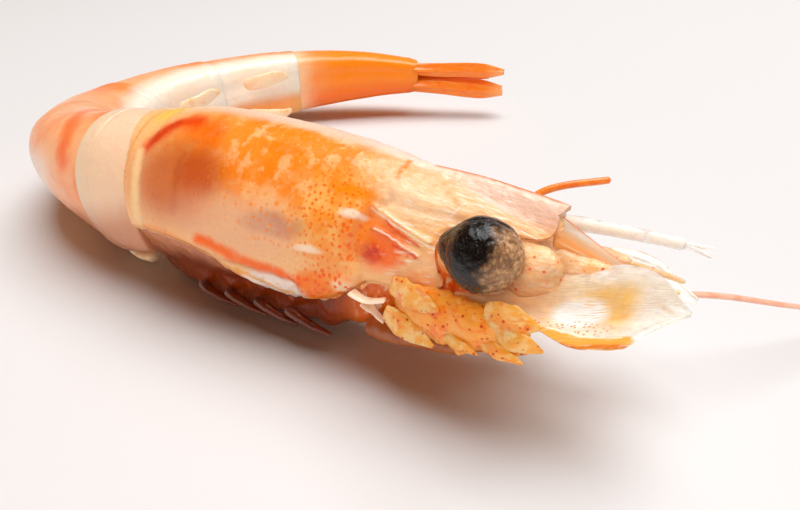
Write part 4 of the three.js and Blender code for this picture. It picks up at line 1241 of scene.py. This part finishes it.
def ring_finish(number):
    """A ring's colours, laid out as the head shell's are. Rear is where the ring ends along the body."""
    finish = Finish(f"ring_shell_{number}", tint(246, 184, 138), roughness=0.34, coat=0.3, clearness=0.32)
    where = finish.map()
    loose = finish.shaken(where, 0.5, 3.0)
    rear = sum(RING_LENGTHS[:number]) + SHELL_LENGTH
    place, right = finish.part(loose, 0), finish.part(loose, 1)
    turn = finish.part(finish.both_sides(loose), 1)
    cloudy, fine = finish.clouds(finish.space(), 3.0), finish.clouds(finish.space(), 0.5, 4.0)
    if number == 1:
        finish.paint(place.ramp(26, 27.5), tint(238, 208, 180))
    else:
        finish.paint(cloudy.ramp(0.42, 0.66) * 0.7, tint(244, 156, 100))
    if number == 2:
        front_arc = [(34.6, -5), (33.7, -1.5), (32.2, 0.8), (31.5, 3), (31.8, 5), (32.2, 7.5)]
        rear_arc = [(39.5, -5), (38, -3), (36.5, -0.5), (35.3, 2), (34.8, 4.5)]
        finish.paint(finish.stroke(loose, front_arc, 1.7, 1.0) * 0.95, tint(247, 130, 56))
        finish.paint(finish.stroke(loose, rear_arc, 1.5, 1.0) * 0.95, tint(247, 126, 52))
        finish.paint(finish.blob(loose, (41, 5), (3.5, 2.2), 1.2) * 0.8, tint(240, 222, 208))
    if number >= 3:
        finish.paint(place.ramp(rear - 3.5, rear - 0.5) * turn.ramp(12, 9) * 0.7, tint(250, 150, 76))
    if number in (3, 4, 5):
        start = rear - RING_LENGTHS[number - 1]
        cream = place.ramp(start - 2, start + 7) if number == 3 else 1
        finish.paint(turn.ramp(9, 12) * 0.85 * cream, tint(255, 247, 234))
        finish.paint(turn.ramp(10, 7) * place.ramp(rear - 8, rear - 2) * 0.5, tint(246, 128, 60))
        finish.paint(right.ramp(10.5, 13.5) * right.ramp(18, 15) * 0.9, tint(252, 168, 84))
    if number == 6:
        finish.paint(place.ramp(84, 92), tint(253, 152, 48))
        finish.paint(right.ramp(6, 11) * right.ramp(18, 14) * 0.8, tint(240, 122, 40))
        finish.paint(place.ramp(89, 83.5) * turn.ramp(7, 11) * 0.85, tint(254, 226, 190))
    if number < 3:
        fading = place.ramp(rear - 1, rear - 9) if number == 2 else 1
        # Painted shade: the lower sides of the first two rings are painted mauve-brown.
        finish.paint(turn.ramp(7.5, 10.5) * 0.75 * fading, tint(196, 128, 96))
        finish.paint(turn.ramp(14.5, 17) * 0.7 * fading, tint(232, 168, 120))
    finish.raise_by(fine, 0.03)
    finish.raise_by(cloudy, 0.3)
    finish.feed("Roughness", fine * 0.2 + 0.28)
    return finish.done()


# Two swimming legs hang under each ring but the last: a short stalk and a long paddle that trails behind.
# Each pair of numbers is the legs' length and how far they hang away from the belly.
SWIMMING_LEGS = ((5, 0.2), (6, 1), (7, 1.9), (7.6, 1.9), (7.6, 1.7))
PADDLE_WIDTH = [[0, 0.75], [0.35, 0.95], [0.7, 0.8], [1, 0.25]]
PADDLE_THICKNESS = [[0, 0.6], [0.35, 0.4], [1, 0.16]]
paddle_material = limb_finish("paddle_shell", (254, 226, 196), (252, 200, 150), 0.0)
ring_start = SHELL_LENGTH
for number, length in enumerate(RING_LENGTHS, 1):
    fix(ring(number, ring_start, length), [f"abdomen_{number}"], ring_finish(number))
    if number <= len(SWIMMING_LEGS):
        paddle, away = SWIMMING_LEGS[number - 1]
        root = ring_start + min(length * 0.45, 4.5)
        depth = value_at(DOWN, root) * 0.84 + 0.4 + RING_GAP
        for side, outwards in SIDES:
            spread = outwards * value_at(SIDE, root)
            route = np.array(body_route(((root, spread * 0.42, -depth),
                                         (root + paddle * 0.3, spread * 0.5, -depth - away * 0.85),
                                         (root + paddle * 0.68, spread * 0.55, -depth - away),
                                         (root + paddle, spread * 0.5, -depth - away * 0.7))))
            route[:, 2] = np.maximum(route[:, 2], 1)
            swimming_leg = limb(f"swimming_leg_{side}_{number}", route, PADDLE_WIDTH, PADDLE_THICKNESS,
                                50, 24, reference=frame_at(root)[2], rough=0.06, seed=80 + number)
            fix(swimming_leg, [f"swimmeret_{side}_{number}"], paddle_material)
    ring_start += length

# ---- Tail fan ----
# The pointed middle piece and two flat blades on each side of it, of thick orange shell on a little muscle.
# Each has a rib down its middle, is joined to the last ring by its root and pales towards its tip.

FAN_START = SHELL_LENGTH + sum(RING_LENGTHS) + RING_GAP
FAN_LENGTH = 14
TELSON_LENGTH = 12
TELSON_HALF = [[0, 1.35], [0.5, 1], [0.9, 0.3], [1, 0.12]]
TELSON_OTHER_HALF = [[share, -half] for share, half in TELSON_HALF]
BLADE_NEAR = [[0, -0.4], [0.3, -0.6], [0.6, -0.5], [0.8, -0.5], [1, 0.1]]
BLADE_FAR = [[0, 1.3], [0.3, 1.4], [0.75, 1.6], [1, 0.9]]
# How far from the middle each blade starts, how far towards the back, and how much it bows.
BLADES = (("inner", 0.4, -0.1, 0.036), ("outer", 0.8, -1.35, 0.06))


def fan_plate(name, length, near_edge, far_edge, half_thickness, place_at):
    """A closed flat blade. Its edges are pairs of a share of its length and a distance across."""

    def place(along, around):
        angle = around * 2 * np.pi
        share = 0.5 - 0.5 * np.cos(angle)
        across = between(value_at(near_edge, along), value_at(far_edge, along), share)
        rib = 0.55 + 0.45 * np.exp(-((share - 0.45) / 0.18) ** 2)
        thickness = half_thickness * round_ends(along, length, 0.5) * rib
        thickness = thickness * (1 + 1.1 * (1 - ramp(0, 0.45, along)))
        through = np.sin(angle) * thickness
        return place_at(along * length, across, through), (along * length, across)

    return close_seams(bent_grid(name, 80, 60, place))


def fan_finish():
    finish = Finish("fan_shell", tint(253, 146, 52), roughness=0.3, coat=0.6, clearness=0.3)
    where, space = finish.map(), finish.space()
    along = finish.part(where, 0)
    cloudy = finish.clouds(space, 1.6)
    lines = finish.clouds(finish.vector("MULTIPLY", where, (0.4, 5, 1)), 1.0)
    finish.paint(along.ramp(1, 8) * 0.9, tint(255, 146, 46))
    finish.paint(along.ramp(10.5, 13.6) * 0.7, tint(255, 184, 124))
    finish.paint(lines.ramp(0.5, 0.7) * 0.4, tint(254, 186, 120))
    finish.paint(cloudy.ramp(0.55, 0.7) * 0.4, tint(246, 112, 34))
    finish.raise_by(lines, 0.12)
    return finish.done()


def telson_at(along, across, through):
    to_back = 1.35 - along * 0.05 + through * between(1, 0.4, along / FAN_LENGTH)
    return beside_line(FAN_START + along, across, to_back)


fan_material = fan_finish()
telson = fan_plate("telson_plate", TELSON_LENGTH, TELSON_OTHER_HALF, TELSON_HALF, 0.55, telson_at)
fix(telson, ["telson"], fan_material)
for side, outwards in SIDES:
    for layer, start, height, bow in BLADES:

        def blade_at(along, across, through):
            to_side = outwards * (start + across + along * 0.02)
            return beside_line(FAN_START + along, to_side, height - bow * (across - 0.8) ** 2 + through)

        name = f"fan_blade_{side}_{layer}"
        fan_blade = fan_plate(name, FAN_LENGTH, BLADE_NEAR, BLADE_FAR, 0.42, blade_at)
        fix(fan_blade, [f"uropod_{side}_{layer}"], fan_material)
